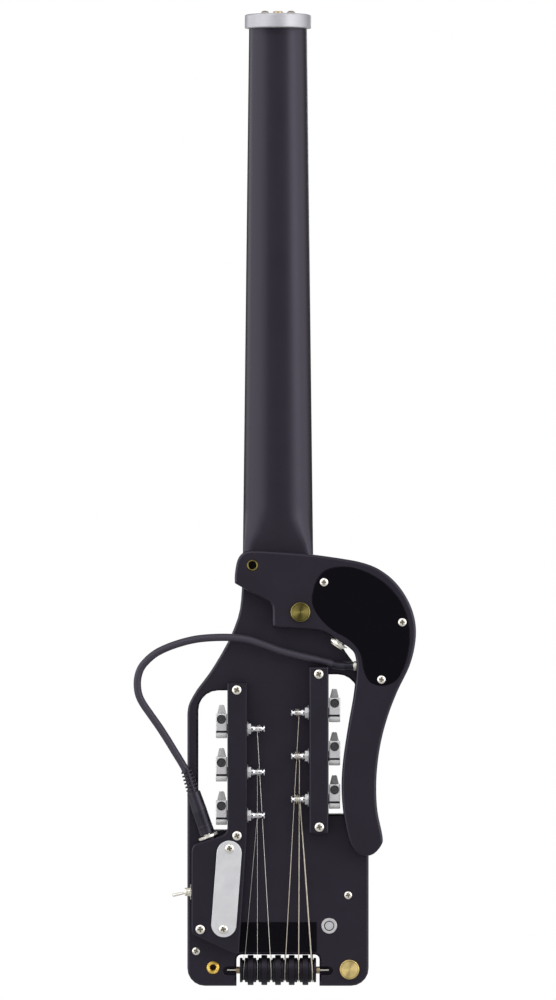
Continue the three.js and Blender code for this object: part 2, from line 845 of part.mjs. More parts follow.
function axleGeometry() {
  const shaft = rod(axle.radius, -axle.length / 2, axle.length / 2, "x", sides.shaft);
  const wheel = turned(
    [
      [-guard.width / 2, 0],
      [-guard.width / 2, guard.radius - guard.edge],
      [guard.edge - guard.width / 2, guard.radius],
      [guard.width / 2 - guard.edge, guard.radius],
      [guard.width / 2, guard.radius - guard.edge],
      [guard.width / 2, 0],
    ],
    "x",
    sides.wheel,
  );
  const wheels = Array.from({ length: guard_count }, (_, i) =>
    wheel.clone().translate((i - (guard_count - 1) / 2) * roller.pitch, 0, 0),
  );
  return join(shaft, ...wheels);
}

const tail = new THREE.Group();
tail.position.set(0, roller.depth, roller.height);
guitar.add(tail);
add("roller_axle", axleGeometry(), "acetal", tail);

function rollerGeometry() {
  const half = roller.width / 2;
  const bore = clearing(axle.radius, sides.wheel);
  return turned(
    [
      [-half, bore],
      [-half, roller.rim],
      [roller.rim_width - half, roller.rim],
      [-roller.groove_floor / 2, roller.groove],
      [roller.groove_floor / 2, roller.groove],
      [half - roller.rim_width, roller.rim],
      [half, roller.rim],
      [half, bore],
      [-half, bore],
    ],
    "x",
    sides.wheel,
  );
}

strings.radii.forEach((_, i) => {
  add(`string_roller_${i + 1}`, rollerGeometry(), "acetal", tail).position.x = roller_x(i);
});

// Tuners. Each is drawn for the left rail, about its post's axis, with x = 0 at the rail's outer
// face and +X along the post. A right one is its mirror image.

const rail_width = rail.outer - rail.inner;
const tunerHeight = (side, i) =>
  body_window.foot + tuner.rise + i * tuner_pitch + (side > 0 ? tuner.stagger : 0);
const gear_x = -gap - tuner.width / 2;
const gear_pitch_radius = gear.worm_distance - gear.worm_radius;
const worm_pitch = (2 * Math.PI * gear_pitch_radius) / gear.teeth;
const gear_tip = gear_pitch_radius + gear.addendum;
const gear_root = gear_pitch_radius - gear.dedendum;
const worm_tip = gear.worm_radius + gear.addendum;
const worm_root = gear.worm_radius - gear.dedendum;
const tooth = worm_pitch / 2 - backlash;
const tooth_slope = Math.tan(radians(20));
const tooth_tip = tooth - 2 * gear.addendum * tooth_slope;
const tooth_root = tooth + 2 * gear.dedendum * tooth_slope;
const shoulder_depth = tuner.back_radius - tuner.front_wall;

function housingGeometry() {
  const { back_radius: back, width, top } = tuner;
  const shell = crosswise(
    [...arc(0, 0, back, 180, 360, 8), point(back, top), point(-back, top)],
    -gap - width,
    -gap,
    rail.edge / 2,
  );
  const sleeve = rod(bushing.radius, -gap - rail.edge, rail_width + 2 * gap, "x", sides.bore);
  const hex = rod(bushing.hex_radius, rail_width + gap, rail_width + gap + bushing.hex, "x", sides.hex);
  const cavity = gear.face / 2 + gap;
  const gear_bore = clearing(gear_tip, sides.wheel);
  const gearRoom = rod(gear_bore, gear_x - cavity, gear_x + cavity, "x", sides.wheel);
  const journal_bore = clearing(worm.journal_radius, sides.bore);
  const wormRoom = rod(journal_bore, -back - overrun, shoulder_depth, "y", sides.bore);
  const shaftHole = rod(clearing(worm.shaft_radius, sides.bore), 0, back + overrun, "y", sides.bore);
  const post_end = rail_width + bushing.hex + overrun;
  const postHole = rod(clearing(post.radius, sides.bore), gear_x, post_end, "x", sides.bore);
  return cut(
    join(shell, sleeve, hex),
    gearRoom,
    wormRoom.translate(gear_x, 0, gear.worm_distance),
    shaftHole.translate(gear_x, 0, gear.worm_distance),
    postHole,
  );
}

// A worm wheel: teeth leaned across its face by the worm's own helix.
function gearGeometry() {
  const reach = Math.asin(gear.face / 2 / (gear.worm_radius + gear.addendum / 2));
  const lean = (worm.handedness * worm_pitch * reach) / (2 * Math.PI);
  const ring = (offset) => {
    const turn = -Math.sign(offset) * lean / gear_pitch_radius;
    const corners = [];
    for (let t = 0; t < gear.teeth; t += 1) {
      const middle = (2 * Math.PI * (t + 1 / 2)) / gear.teeth + turn;
      for (const [radius, width, side] of [
        [gear_root, tooth_root, 1],
        [gear_tip, tooth_tip, 1],
        [gear_tip, tooth_tip, -1],
        [gear_root, tooth_root, -1],
      ]) {
        const angle = middle - (side * width) / 2 / radius;
        corners.push(
          new THREE.Vector3(gear_x + offset, -radius * Math.sin(angle), radius * Math.cos(angle)),
        );
      }
    }
    return corners;
  };
  return loft([ring(-gear.face / 2), ring(gear.face / 2)]);
}

function postGeometry() {
  const start = rail_width + bushing.hex + 2 * gap;
  const end = start + post.spool;
  return join(
    gearGeometry(),
    turned(
      [
        [gear_x, 0],
        [gear_x, post.radius],
        [start, post.radius],
        [start, post.flare],
        [start + post.flare_length, post.flare],
        [start + post.flare_length + post.cone_length, post.waist],
        [end - post.flare_length - post.cone_length, post.waist],
        [end - post.flare_length, post.flare],
        [end, post.flare],
        [end, 0],
      ],
      "x",
      sides.shaft,
    ),
  );
}

function wormThread() {
  const steps = 8;
  const count = Math.round(worm.turns * steps);
  const rings = Array.from({ length: count + 1 }, (_, i) => {
    const turn = ((i - count / 2) / steps) * 2 * Math.PI;
    const along = (worm.handedness * worm_pitch * turn) / (2 * Math.PI);
    return [
      [worm_root - gap, -tooth_root / 2],
      [worm_tip, -tooth_tip / 2],
      [worm_tip, tooth_tip / 2],
      [worm_root - gap, tooth_root / 2],
    ].map(
      ([radius, shift]) =>
        new THREE.Vector3(radius * Math.sin(turn), along + shift, -radius * Math.cos(turn)),
    );
  });
  return loft(rings);
}

function wormGeometry() {
  const { journal_radius: journal, shaft_radius: shaft } = worm;
  const back = -tuner.back_radius + gap;
  const step = shoulder_depth - gap;
  const reach = tuner.depth + button.inset;
  const core = turned(
    [
      [back, 0],
      [back, journal],
      [back + worm.journal, journal],
      [back + worm.journal, worm_root],
      [step - worm.collar, worm_root],
      [step - worm.collar, worm_tip],
      [step, worm_tip],
      [step, shaft],
      [reach + button.edge, shaft],
      [reach + button.edge, 0],
    ],
    "y",
    sides.shaft,
  );
  const [tip, wide] = [button.tip_width / 2, button.width / 2];
  const [high, low] = [button.length / 2, button.shoulder / 2];
  const blade = slab(
    [
      point(tip - button.edge, high), point(tip, high - button.edge), point(wide, low), point(wide, -low),
      point(tip, button.edge - high), point(tip - button.edge, -high), point(button.edge - tip, -high),
      point(-tip, button.edge - high),
      point(-wide, -low),
      point(-wide, low),
      point(-tip, high - button.edge),
      point(button.edge - tip, high),
    ],
    reach,
    reach + button.depth,
  );
  return join(core, wormThread(), blade).translate(gear_x, 0, gear.worm_distance);
}

for (const side of [-1, 1]) {
  for (let i = 0; i < rows; i += 1) {
    const label = `${side < 0 ? "left" : "right"}_${i + 1}`;
    const machine = new THREE.Group();
    machine.position.set(side * rail.outer, mid_depth, tunerHeight(side, i));
    guitar.add(machine);
    add(`tuner_housing_${label}`, sideOf(side, housingGeometry()), "chrome", machine);
    add(`tuner_button_${label}`, sideOf(side, wormGeometry()), "chrome", machine);
    add(`string_post_${label}`, sideOf(side, postGeometry()), "chrome", machine);
  }
}

// Tuner rails and electronics block

const rail_back = -rail.height;
const sleeveBore = (side, i) =>
  rod(clearing(bushing.radius, sides.bore), -rail_width - overrun, overrun, "x", sides.bore)
    .translate(side < 0 ? -rail.inner : rail.outer, mid_depth, tunerHeight(side, i));
const sleeveBores = (side) => Array.from({ length: rows }, (_, i) => sleeveBore(side, i));
const railTop = (side) => tunerHeight(side, rows - 1) + rail.above;

add(
  "tuner_rail_right",
  cut(
    slab(
      [
        point(rail.inner, tunerHeight(1, 0) - rail.below),
        point(rail.outer, tunerHeight(1, 0) - rail.below),
        point(rail.outer, railTop(1)),
        point(rail.inner, railTop(1)),
      ],
      rail_back,
      -gap,
      rail.edge,
      [],
      1,
    ),
    ...sleeveBores(1),
  ),
  "satin_black",
);

const jack_seat = new THREE.Group();
jack_seat.position.set(-seat_x, mid_depth, seat.z);
jack_seat.rotation.y = -radians(seat.tilt);
guitar.add(jack_seat);

function blockOutline() {
  const tilt = radians(seat.tilt);
  const [run, climb] = [(seat_length / 2) * Math.cos(tilt), (seat_length / 2) * Math.sin(tilt)];
  const low = point(-seat_x - run, seat.z - climb);
  const high = point(-seat_x + run, seat.z + climb);
  const rail_foot = point(-rail.outer, high.y - (rail.outer + high.x) * seat.fillet);
  return [
    point(-rail.outer, railTop(-1)),
    point(-rail.inner, railTop(-1)),
    point(-rail.inner, block.neck_z),
    point(-block.waist_x, block.waist_z),
    point(-block.foot_x, block.foot_z),
    point(-block.tail_x, block.tail_z),
    ...new THREE.QuadraticBezierCurve(
      point(-block_left + block.corner, block.side_foot - block.corner),
      point(-block_left, block.side_foot - block.corner / 2),
      point(-block_left, block.side_foot + block.corner),
    ).getPoints(3),
    ...new THREE.QuadraticBezierCurve(
      point(-block_left, block.side_top),
      point(-block_left, (block.side_top + low.y) / 2 + block.corner),
      low,
    ).getPoints(4),
    ...new THREE.QuadraticBezierCurve(
      high,
      point(-rail.outer, high.y + block.corner),
      rail_foot,
    ).getPoints(5),
  ];
}

const toggle_axis = new THREE.Group();
toggle_axis.position.set(-block_left, mid_depth, toggle.z);
guitar.add(toggle_axis);

add(
  "electronics_block",
  cut(
    slab(blockOutline(), rail_back, -gap, rail.edge, [], 1),
    ...sleeveBores(-1),
    placed(socket(jack.barrel, jack.depth, sides.wheel), jack_seat),
    placed(
      rod(clearing(toggle.bushing, sides.shaft), -overrun, toggle.barrel + gap, "x", sides.shaft),
      toggle_axis,
    ),
  ),
  "satin_black",
);

const name_plate = new THREE.Group();
name_plate.position.set(-plate.x, rail_back - gap, plate.z);
name_plate.rotation.y = radians(plate.tilt);
guitar.add(name_plate);
const plate_reach = (plate.length - plate.width) / 2;
add(
  "blank_plate",
  slab(
    [
      ...arc(0, plate_reach, plate.width / 2, 0, 180, 8),
      ...arc(0, -plate_reach, plate.width / 2, 180, 360, 8),
    ],
    -plate.thickness,
    0,
    plate.thickness / 4,
    [],
    1,
  ),
  "aluminium",
  name_plate,
);

const blockEdge = (z) =>
  -blend(block.foot_x, block.waist_x, (z - block.foot_z) / (block.waist_z - block.foot_z));
add(
  "felt_strip",
  slab(
    [
      point(blockEdge(felt.foot) + 2 * gap, felt.foot),
      point(felt_half, felt.foot),
      point(felt_half, felt.top),
      point(blockEdge(felt.top) + 2 * gap, felt.top),
    ],
    -gap - felt.thickness,
    -gap,
  ),
  "felt",
);

// Body jack, with its mouth facing out of the slanted seat

const jack_mouth = gap + jack.nut;
add(
  "body_jack",
  turned(
    [
      [-jack.depth, 0],
      [-jack.depth, jack.barrel],
      [gap, jack.barrel],
      [gap, jack.nut_radius - gap],
      [2 * gap, jack.nut_radius],
      [jack_mouth - gap, jack.nut_radius],
      [jack_mouth, jack.nut_radius - 2 * gap],
      [jack_mouth, jack.bore],
      [jack.wall - jack.depth, jack.bore],
      [jack.wall - jack.depth, 0],
    ],
    "z",
    sides.wheel,
  ),
  "chrome",
  jack_seat,
);

const sleeve_start = jack_mouth + gap + plug.collar_length;
const relief_start = sleeve_start + plug.sleeve_length;
const plug_end = relief_start + relief.length;

function plugGeometry() {
  const profile = [
    [jack_mouth - plug.shank_length, 0],
    [jack_mouth - plug.shank_length, plug.shank],
    [jack_mouth + gap, plug.shank],
    [jack_mouth + gap, plug.collar],
    [sleeve_start, plug.collar],
    [sleeve_start, plug.sleeve],
    [relief_start, plug.sleeve_foot],
  ];
  const rib = relief.length / relief.ribs;
  for (let i = 0; i < relief.ribs; i += 1) {
    const from = relief_start + i * rib;
    const radius = (step) => blend(relief.foot, relief.tip, (i + step) / relief.ribs);
    profile.push(
      [from + rib / 4, radius(1 / 4) - relief.groove],
      [from + rib / 2, radius(1 / 2)],
      [from + rib, radius(1)],
    );
  }
  profile.push([plug_end, 0]);
  return turned(profile, "z", sides.shaft);
}

add("cable_plug", plugGeometry(), "rubber", jack_seat);

// Toggle switch on the block's side wall, with its lever at rest at its lower end

const toggle_mouth = -gap - toggle.length;
add(
  "toggle_switch",
  turned(
    [
      [toggle.barrel, 0],
      [toggle.barrel, toggle.bushing],
      [-gap, toggle.bushing],
      [-gap, toggle.washer],
      [-gap - toggle.washer_thickness, toggle.washer],
      [-gap - toggle.washer_thickness, toggle.bushing],
      [toggle_mouth, toggle.bushing],
      [toggle_mouth, toggle.bore],
      [lever.ball + gap - toggle.pivot, toggle.bore],
      [lever.ball + gap - toggle.pivot, 0],
    ],
    "x",
    sides.shaft,
  ),
  "nickel",
  toggle_axis,
);

const lever_pivot = new THREE.Group();
lever_pivot.position.set(-block_left - toggle.pivot, mid_depth, toggle.z);
lever_pivot.rotation.y = -radians(lever.rest);
guitar.add(lever_pivot);

function leverGeometry() {
  const ball = [180, 144, 108, 72, 36].map((angle) => [
    -lever.ball * Math.cos(radians(angle)),
    lever.ball * Math.sin(radians(angle)),
  ]);
  const neck_x = -Math.sqrt(lever.ball ** 2 - lever.root ** 2);
  const profile = [
    ...ball.filter(([along]) => along > neck_x),
    [neck_x, lever.root],
    [-lever.length + lever.tip, lever.tip],
    [-lever.length + lever.tip / 4, lever.tip * 3 / 4],
    [-lever.length, 0],
  ];
  return turned(profile, "x", sides.bore);
}

add("toggle_lever", leverGeometry(), "nickel", lever_pivot);

// Insert and thumbscrews

add(
  "brass_insert",
  turned(
    [
      [-insert.proud, insert.bore],
      [-insert.proud, insert.radius],
      [insert.length, insert.radius],
      [insert.length, insert.bore],
      [-insert.proud, insert.bore],
    ],
    "y",
    sides.round,
  ).translate(-insert_x, 0, insert.z),
  "brass",
);

function thumbscrewGeometry(face) {
  const { radius, head, edge, shank, reach } = thumbscrew;
  const under = face - gap;
  return turned(
    [
      [under - head, 0],
      [under - head, radius - edge],
      [under - head + edge, radius],
      [under, radius],
      [under, shank],
      [reach, shank],
      [reach, 0],
    ],
    "y",
    sides.round,
  );
}

add("body_thumbscrew", thumbscrewGeometry(0).translate(body_screw_x, 0, body_screw.z), "brass");
add("arm_thumbscrew", thumbscrewGeometry(arm_back).translate(arm.pivot_x, 0, pivot_z), "brass");

// Lap rest arm, clamped to the back by its thumbscrew

const onArm = ([across, up]) =>
  point(
    blend(arm.pivot_x - arm.left, arm.pivot_x + arm.right, across),
    blend(pivot_z - arm.drop, pivot_z + arm.rise, up),
  );
const armOutline = () => [
  ...new THREE.SplineCurve(arm_edge_shares.map(onArm)).getPoints(Math.round(1.5 * arm_edge_shares.length)),
  ...arm_hollow_shares.map(onArm),
];

function coverOutline(inset) {
  const line = cover_shares.map(onArm);
  const closed = new THREE.CatmullRomCurve3(line.map((p) => new THREE.Vector3(p.x, p.y, 0)), true);
  const points = closed.getPoints(2 * line.length).slice(0, -1);
  return points.map((p, i) => {
    const along = points[(i + 1) % points.length].clone().sub(points.at(i - 1)).normalize();
    return point(p.x + along.y * inset, p.y - along.x * inset);
  });
}

function facing(shares, wall) {
  const group = new THREE.Group();
  const at = onArm(shares);
  group.position.set(at.x, mid_depth, at.y);
  group.rotation.y = radians(wall);
  guitar.add(group);
  return group;
}

const output_seat = facing(output_shares, output.turn);
const mini_seat = facing(mini_shares, mini.turn);
const knob_bore = clearing(knob.shaft, sides.shaft);
const knob_places = knob_shares.map(onArm);
const ring_place = onArm(arm_ring_shares);

add(
  "lap_rest_arm",
  cut(
    slab(armOutline(), arm_back, arm_front, arm.edge),
    slab(coverOutline(0), arm_back - overrun, arm_back + arm_cover.recess),
    rod(clearing(thumbscrew.shank, sides.shaft), arm_back - overrun, overrun, "y", sides.shaft)
      .translate(arm.pivot_x, 0, pivot_z),
    rod(clearing(arm_ring.radius, sides.round), arm_back - overrun, overrun, "y", sides.round)
      .translate(ring_place.x, 0, ring_place.y),
    placed(socket(output.barrel, output.depth, sides.wheel), output_seat),
    placed(rod(output.seat, -gap, overrun, "z", sides.wheel), output_seat),
    placed(socket(mini.barrel, mini.depth, sides.shaft), mini_seat),
    placed(rod(mini.seat, -gap, overrun, "z", sides.shaft), mini_seat),
    ...knob_places.map((at) =>
      rod(knob_bore, -knob.shaft_depth - gap, overrun, "y", sides.shaft).translate(at.x, 0, at.y),
    ),
  ),
  "satin_black",
);

add(
  "arm_cover",
  slab(
    coverOutline(gap),
    arm_back + arm_cover.recess - gap - arm_cover.thickness,
    arm_back + arm_cover.recess - gap,
  ),
  "gloss_black",
);

add(
  "arm_bushing",
  turned(
    [
      [arm_back, arm_ring.bore],
      [arm_back, arm_ring.radius],
      [arm_front, arm_ring.radius],
      [arm_front, arm_ring.bore],
      [arm_back, arm_ring.bore],
    ],
    "y",
    sides.round,
  ).translate(ring_place.x, 0, ring_place.y),
  "brass",
);

add(
  "arm_output_jack",
  join(
    turned(
      [
        [-output.depth, 0],
        [-output.depth, output.barrel],
        [0, output.barrel],
        [0, output.washer],
        [output.washer_thickness, output.washer],
        [output.washer_thickness, output.barrel],
        [output.washer_thickness + output.nut_thickness + output.thread, output.barrel],
        [output.washer_thickness + output.nut_thickness + output.thread, output.bore],
        [jack.wall - output.depth, output.bore],
        [jack.wall - output.depth, 0],
      ],
      "z",
      sides.wheel,
    ),
    turned(
      [
        [output.washer_thickness, output.bore],
        [output.washer_thickness, output.nut],
        [output.washer_thickness + output.nut_thickness, output.nut],
        [output.washer_thickness + output.nut_thickness, output.bore],
        [output.washer_thickness, output.bore],
      ],
      "z",
      sides.hex,
    ),
  ),
  "nickel",
  output_seat,
);

add(
  "arm_mini_jack",
  turned(
    [
      [-mini.depth, 0],
      [-mini.depth, mini.barrel],
      [0, mini.barrel],
      [0, mini.ring],
      [mini.ring_thickness, mini.ring],
      [mini.ring_thickness, mini.bore],
      [jack.wall - mini.depth, mini.bore],
      [jack.wall - mini.depth, 0],
    ],
    "z",
    sides.shaft,
  ),
  "nickel",
  mini_seat,
);

const mini_mouth = mini.ring_thickness + gap;
const mini_end = mini_mouth + mini_plug.sleeve_length;
add(
  "mini_plug",
  turned(
    [
      [mini_mouth - mini_plug.shank_length, 0],
      [mini_mouth - mini_plug.shank_length, mini_plug.shank],
      [mini_mouth, mini_plug.shank],
      [mini_mouth, mini_plug.sleeve],
      [mini_end - gap, mini_plug.sleeve_foot],
      [mini_end, mini_plug.sleeve_foot - gap],
      [mini_end, 0],
    ],
    "z",
    sides.shaft,
  ),
  "rubber",
  mini_seat,
);

const knobGeometry = () =>
  turned(
    [
      [-knob.shaft_depth, 0],
      [-knob.shaft_depth, knob.shaft],
      [knob.standoff, knob.shaft],
      [knob.standoff, knob.radius],
      [knob.standoff + knob.skirt, knob.radius],
      [knob.standoff + knob.skirt, knob.top_radius],
      [knob.standoff + knob.height, knob.top_radius],
      [knob.standoff + knob.height, 0],
    ],
    "y",
    sides.round,
  );

["volume_knob", "tone_knob"].forEach((name, i) => {
  add(name, knobGeometry().translate(knob_places[i].x, 0, knob_places[i].y), "gloss_black");
});

// Patch cable

const alongSeat = (seat_group, along) =>
  new THREE.Vector3(0, 0, along).applyQuaternion(seat_group.quaternion).add(seat_group.position);

function cableGeometry() {
  const section = new THREE.Shape(
    Array.from({ length: sides.cable }, (_, k) => {
      const turn = (2 * Math.PI * k) / sides.cable;
      return point(cable.radius * Math.cos(turn), cable.radius * Math.sin(turn));
    }),
  );
  const start = alongSeat(mini_seat, mini_end + cable.standoff);
  const end = alongSeat(jack_seat, plug_end + cable.standoff);
  const places = cable_route_shares.map(
    ([across, behind, down]) =>
      new THREE.Vector3(
        blend(start.x, end.x, across),
        mid_depth * (1 + behind),
        blend(start.z, end.z, down),
      ),
  );
  return new THREE.ExtrudeGeometry(section, {
    extrudePath: new THREE.CatmullRomCurve3(places, false, "centripetal"),
    steps: cable_steps,
    bevelEnabled: false,
  });
}

add("patch_cable", cableGeometry(), "rubber");

// Strings: from a ball in the cap, over the nut and saddle, round a roller and onto a post

// The least distance between points that lie at least a number of steps apart on their line.
function leastDistance(points, apart) {
  let least = Infinity;
  points.forEach((p, k) => {
    for (const q of points.slice(k + apart)) least = Math.min(least, p.distanceTo(q));
  });
  return least;
}

function stringGeometry(i) {
  const radius = strings.radii[i];
  const side = i < rows ? -1 : 1;
  const row = side < 0 ? i : strings.radii.length - 1 - i;
  const at = (x, y, z) => new THREE.Vector3(x, y, z);
  const [x_nut, x_roll] = [nut_string_x(i), roller_x(i)];
  const ball = neck_top + strings.ball_height;
  const winding = [];
  const stations = [
    [at(x_nut, strings.anchor_depth, ball + strings.ball_length), strings.ball_radius],
    [at(x_nut, strings.anchor_depth, ball), strings.ball_radius],
    [at(x_nut, strings.anchor_depth, ball - gap / 2), radius],
    [at(x_nut, strings.nut_depth, neck_top - gap), radius],
    [at(x_nut, strings.nut_depth, nut_foot), radius],
    [at(x_roll, strings.saddle_depth, saddle.height), radius],
  ];
  const around = roller.groove + gap + radius;
  const [dy, dz] = [strings.saddle_depth - roller.depth, saddle.height - roller.height];
  const first = Math.atan2(dz, dy) - Math.acos(around / Math.hypot(dy, dz));
  const wound = post.waist + gap + radius;
  const post_z = tunerHeight(side, row);
  const [py, pz] = [mid_depth - roller.depth, post_z - roller.height];
  const leave = Math.atan2(pz, py) + Math.acos((around + wound) / Math.hypot(py, pz));
  const last = leave - 2 * Math.PI;
  const bends = 8;
  for (let k = 0; k <= bends; k += 1) {
    const turn = blend(first, last, k / bends);
    const [y, z] = [around * Math.cos(turn), around * Math.sin(turn)];
    stations.push([at(x_roll, roller.depth + y, roller.height + z), radius]);
  }
  const pitch = 2 * radius + strings.wrap_gap;
  const spool = rail_width + bushing.hex + 2 * gap + post.spool / 2;
  const x_post = side * (rail.outer - spool - (pitch * strings.turns) / 2);
  const steps = 8;
  const count = Math.round(strings.turns * steps);
  for (let k = 0; k <= count; k += 1) {
    const turn = leave - Math.PI + (2 * Math.PI * k) / steps;
    const x = x_post + (side * pitch * k) / steps;
    winding.push(at(x, mid_depth + wound * Math.cos(turn), post_z + wound * Math.sin(turn)));
  }
  stations.push(...winding.map((place) => [place, radius]));
  const apart = leastDistance(winding, steps / 2) - 2 * radius;
  console.log(`string ${i + 1}: least gap between its turns ${apart.toFixed(2)} mm`);
  return tube(stations, sides.string);
}

strings.radii.forEach((_, i) => add(`string_${i + 1}`, stringGeometry(i), "steel"));

export default guitar;
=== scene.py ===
"""Travel guitar, seen from its back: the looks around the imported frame.

Pieces are modelled in the guitar's own millimetres, with the tail end at z = 0, the back at
y = 0 facing -Y and the neck along +Z, and are then settled into the frame's metres.
"""

import math
import random

import bpy
from mathutils import Matrix, Quaternion, Vector


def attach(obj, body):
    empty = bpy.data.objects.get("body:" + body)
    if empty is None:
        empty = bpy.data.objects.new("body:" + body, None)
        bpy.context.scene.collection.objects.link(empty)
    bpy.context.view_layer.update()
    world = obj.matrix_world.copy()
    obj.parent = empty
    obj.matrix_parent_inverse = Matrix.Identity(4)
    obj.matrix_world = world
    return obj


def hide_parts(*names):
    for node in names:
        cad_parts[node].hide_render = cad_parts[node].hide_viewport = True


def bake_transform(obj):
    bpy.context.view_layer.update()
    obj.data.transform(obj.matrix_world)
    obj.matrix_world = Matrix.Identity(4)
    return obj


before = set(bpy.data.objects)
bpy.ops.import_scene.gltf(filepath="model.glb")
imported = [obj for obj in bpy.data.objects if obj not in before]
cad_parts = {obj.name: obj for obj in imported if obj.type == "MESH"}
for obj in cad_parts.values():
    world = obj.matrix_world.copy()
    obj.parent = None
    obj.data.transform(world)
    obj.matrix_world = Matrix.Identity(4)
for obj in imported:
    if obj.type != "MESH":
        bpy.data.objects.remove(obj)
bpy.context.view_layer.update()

MM = 0.001
AXIS_DEPTH = 12.3
NECK_TOP = 699.0
UP, BACK, FRONT, RIGHT, LEFT = (0, 0, 1), (0, -1, 0), (0, 1, 0), (1, 0, 0), (-1, 0, 0)
draw = random.Random(7)


def at(x, y, z):
    """A point of the guitar, in millimetres, in the frame's metres."""
    return Vector((x, y - AXIS_DEPTH, z - NECK_TOP)) * MM


# Camera, light and floor

scene = bpy.context.scene
scene.view_settings.view_transform = "Standard"


def linear(code):
    """A colour written as sRGB hex, as the linear one that a shader takes."""
    parts = [int(code[i:i + 2], 16) / 255 for i in (0, 2, 4)]
    return tuple(c / 12.92 if c <= 0.04045 else ((c + 0.055) / 1.055) ** 2.4 for c in parts) + (1.0,)


def add_node(tree, kind, settings=(), inputs=(), links=()):
    """One node, with its settings, its inputs' values and what its inputs are linked to."""
    node = tree.nodes.new("ShaderNode" + kind)
    for name, value in dict(settings).items():
        setattr(node, name, value)
    for name, value in dict(inputs).items():
        node.inputs[name].default_value = value
    for name, socket in dict(links).items():
        tree.links.new(socket, node.inputs[name])
    return node


def ramp(tree, source, stops, smooth="LINEAR"):
    """A colour ramp through (place, sRGB hex or level) stops."""
    node = add_node(tree, "ValToRGB", links={"Fac": source})
    node.color_ramp.interpolation = smooth
    while len(node.color_ramp.elements) < len(stops):
        node.color_ramp.elements.new(0.5)
    for element, (place, colour) in zip(node.color_ramp.elements, stops):
        element.position = place
        element.color = linear(colour) if isinstance(colour, str) else (colour, colour, colour, 1)
    return node


def make_camera():
    """Far behind the guitar and level with its middle, with a long lens."""
    camera = bpy.data.objects.new("camera", bpy.data.cameras.new("camera"))
    scene.collection.objects.link(camera)
    camera.location = (0, -5.52, -0.3447)
    camera.rotation_euler = (math.pi / 2, 0, 0)
    camera.data.lens = 271.95
    camera.data.sensor_width = 36
    camera.data.clip_end = 50
    scene.camera = camera


def make_studio():
    """White behind the object, soft even light on it, and a studio for gloss and metal to mirror:
    a pale sky, a dim front, a bright wall on both sides and a dark far end."""
    world = bpy.data.worlds.new("studio")
    scene.world = world
    world.use_nodes = True
    tree = world.node_tree
    tree.nodes.clear()
    path = add_node(tree, "LightPath")
    way = add_node(tree, "TexCoord")
    split = add_node(tree, "SeparateXYZ", links={"Vector": way.outputs["Generated"]})
    rise = add_node(tree, "MapRange", inputs={"From Min": -1, "From Max": 1},
                    links={"Value": split.outputs["Z"]})
    height = ramp(tree, rise.outputs["Result"], [
        (0.0, 0.6), (0.3, 0.8), (0.42, 0.4), (0.46, 0.4), (0.5, 0.46), (0.56, 0.5), (0.66, 0.9), (1.0, 1.0)])
    across = add_node(tree, "Math", {"operation": "ABSOLUTE"}, links={0: split.outputs["X"]})
    side = ramp(tree, across.outputs[0], [(0.0, 0.0), (0.32, 0.1), (0.54, 2.3), (0.85, 2.5), (1.0, 2.3)])
    panels = add_node(tree, "Mix", {"data_type": "RGBA", "blend_type": "LIGHTEN"}, {0: 1.0},
                      {6: height.outputs["Color"], 7: side.outputs["Color"]})
    behind = add_node(tree, "MapRange", links={"Value": split.outputs["Y"]}, inputs={
        "From Min": -0.1, "From Max": 0.5, "To Min": 1, "To Max": 0.08})
    panels = add_node(tree, "Mix", {"data_type": "RGBA", "blend_type": "MULTIPLY"}, {0: 1.0},
                      {6: panels.outputs[2], 7: behind.outputs["Result"]})
    mirrored = add_node(tree, "Background", links={"Color": panels.outputs[2]})
    soft = add_node(tree, "Background", inputs={"Color": (1, 1, 1, 1), "Strength": 0.5})
    seen = add_node(tree, "Background", inputs={"Color": (1, 1, 1, 1), "Strength": 1.0})
    lit = add_node(tree, "MixShader", links={
        0: path.outputs["Is Glossy Ray"], 1: soft.outputs[0], 2: mirrored.outputs[0]})
    whole = add_node(tree, "MixShader", links={
        0: path.outputs["Is Camera Ray"], 1: lit.outputs[0], 2: seen.outputs[0]})
    add_node(tree, "OutputWorld", links={"Surface": whole.outputs[0]})

    middle = Vector((0, 0, -0.35))
    for name, place, size, power in (
        ("key", (-0.7, -2.0, 1.3), 1.4, 16.0),
        ("fill", (1.6, -1.9, 0.2), 1.2, 9.0),
        ("rim_left", (-1.7, 0.9, 0.1), 0.9, 5.0),
        ("front", (0.5, 2.4, 0.6), 1.4, 12.0),
    ):
        lamp = bpy.data.objects.new(name, bpy.data.lights.new(name, "AREA"))
        scene.collection.objects.link(lamp)
        lamp.data.size = size
        lamp.data.energy = power
        lamp.location = place
        lamp.rotation_mode = "QUATERNION"
        lamp.rotation_quaternion = (Vector(place) - middle).to_track_quat("Z", "Y")


def make_floor():
    """A matt white sheet, lit like paper, well below the hanging guitar."""
    bpy.ops.object.select_all(action="DESELECT")
    bpy.ops.mesh.primitive_circle_add(vertices=128, radius=1.0, fill_type="NGON", location=(0, 0, -0.78))
    floor = bpy.context.object
    floor.name = "floor"
    material = bpy.data.materials.new("matt_paper_sheet")
    material.use_nodes = True
    shader = material.node_tree.nodes["Principled BSDF"]
    shader.inputs["Base Color"].default_value = linear("e9e9ea")
    shader.inputs["Roughness"].default_value = 0.9
    floor.data.materials.append(material)


make_camera()
make_studio()
make_floor()


# Modelling

def alone(piece):
    """The piece as the only one selected, and active."""
    bpy.ops.object.select_all(action="DESELECT")
    piece.select_set(True)
    bpy.context.view_layer.objects.active = piece
    return piece


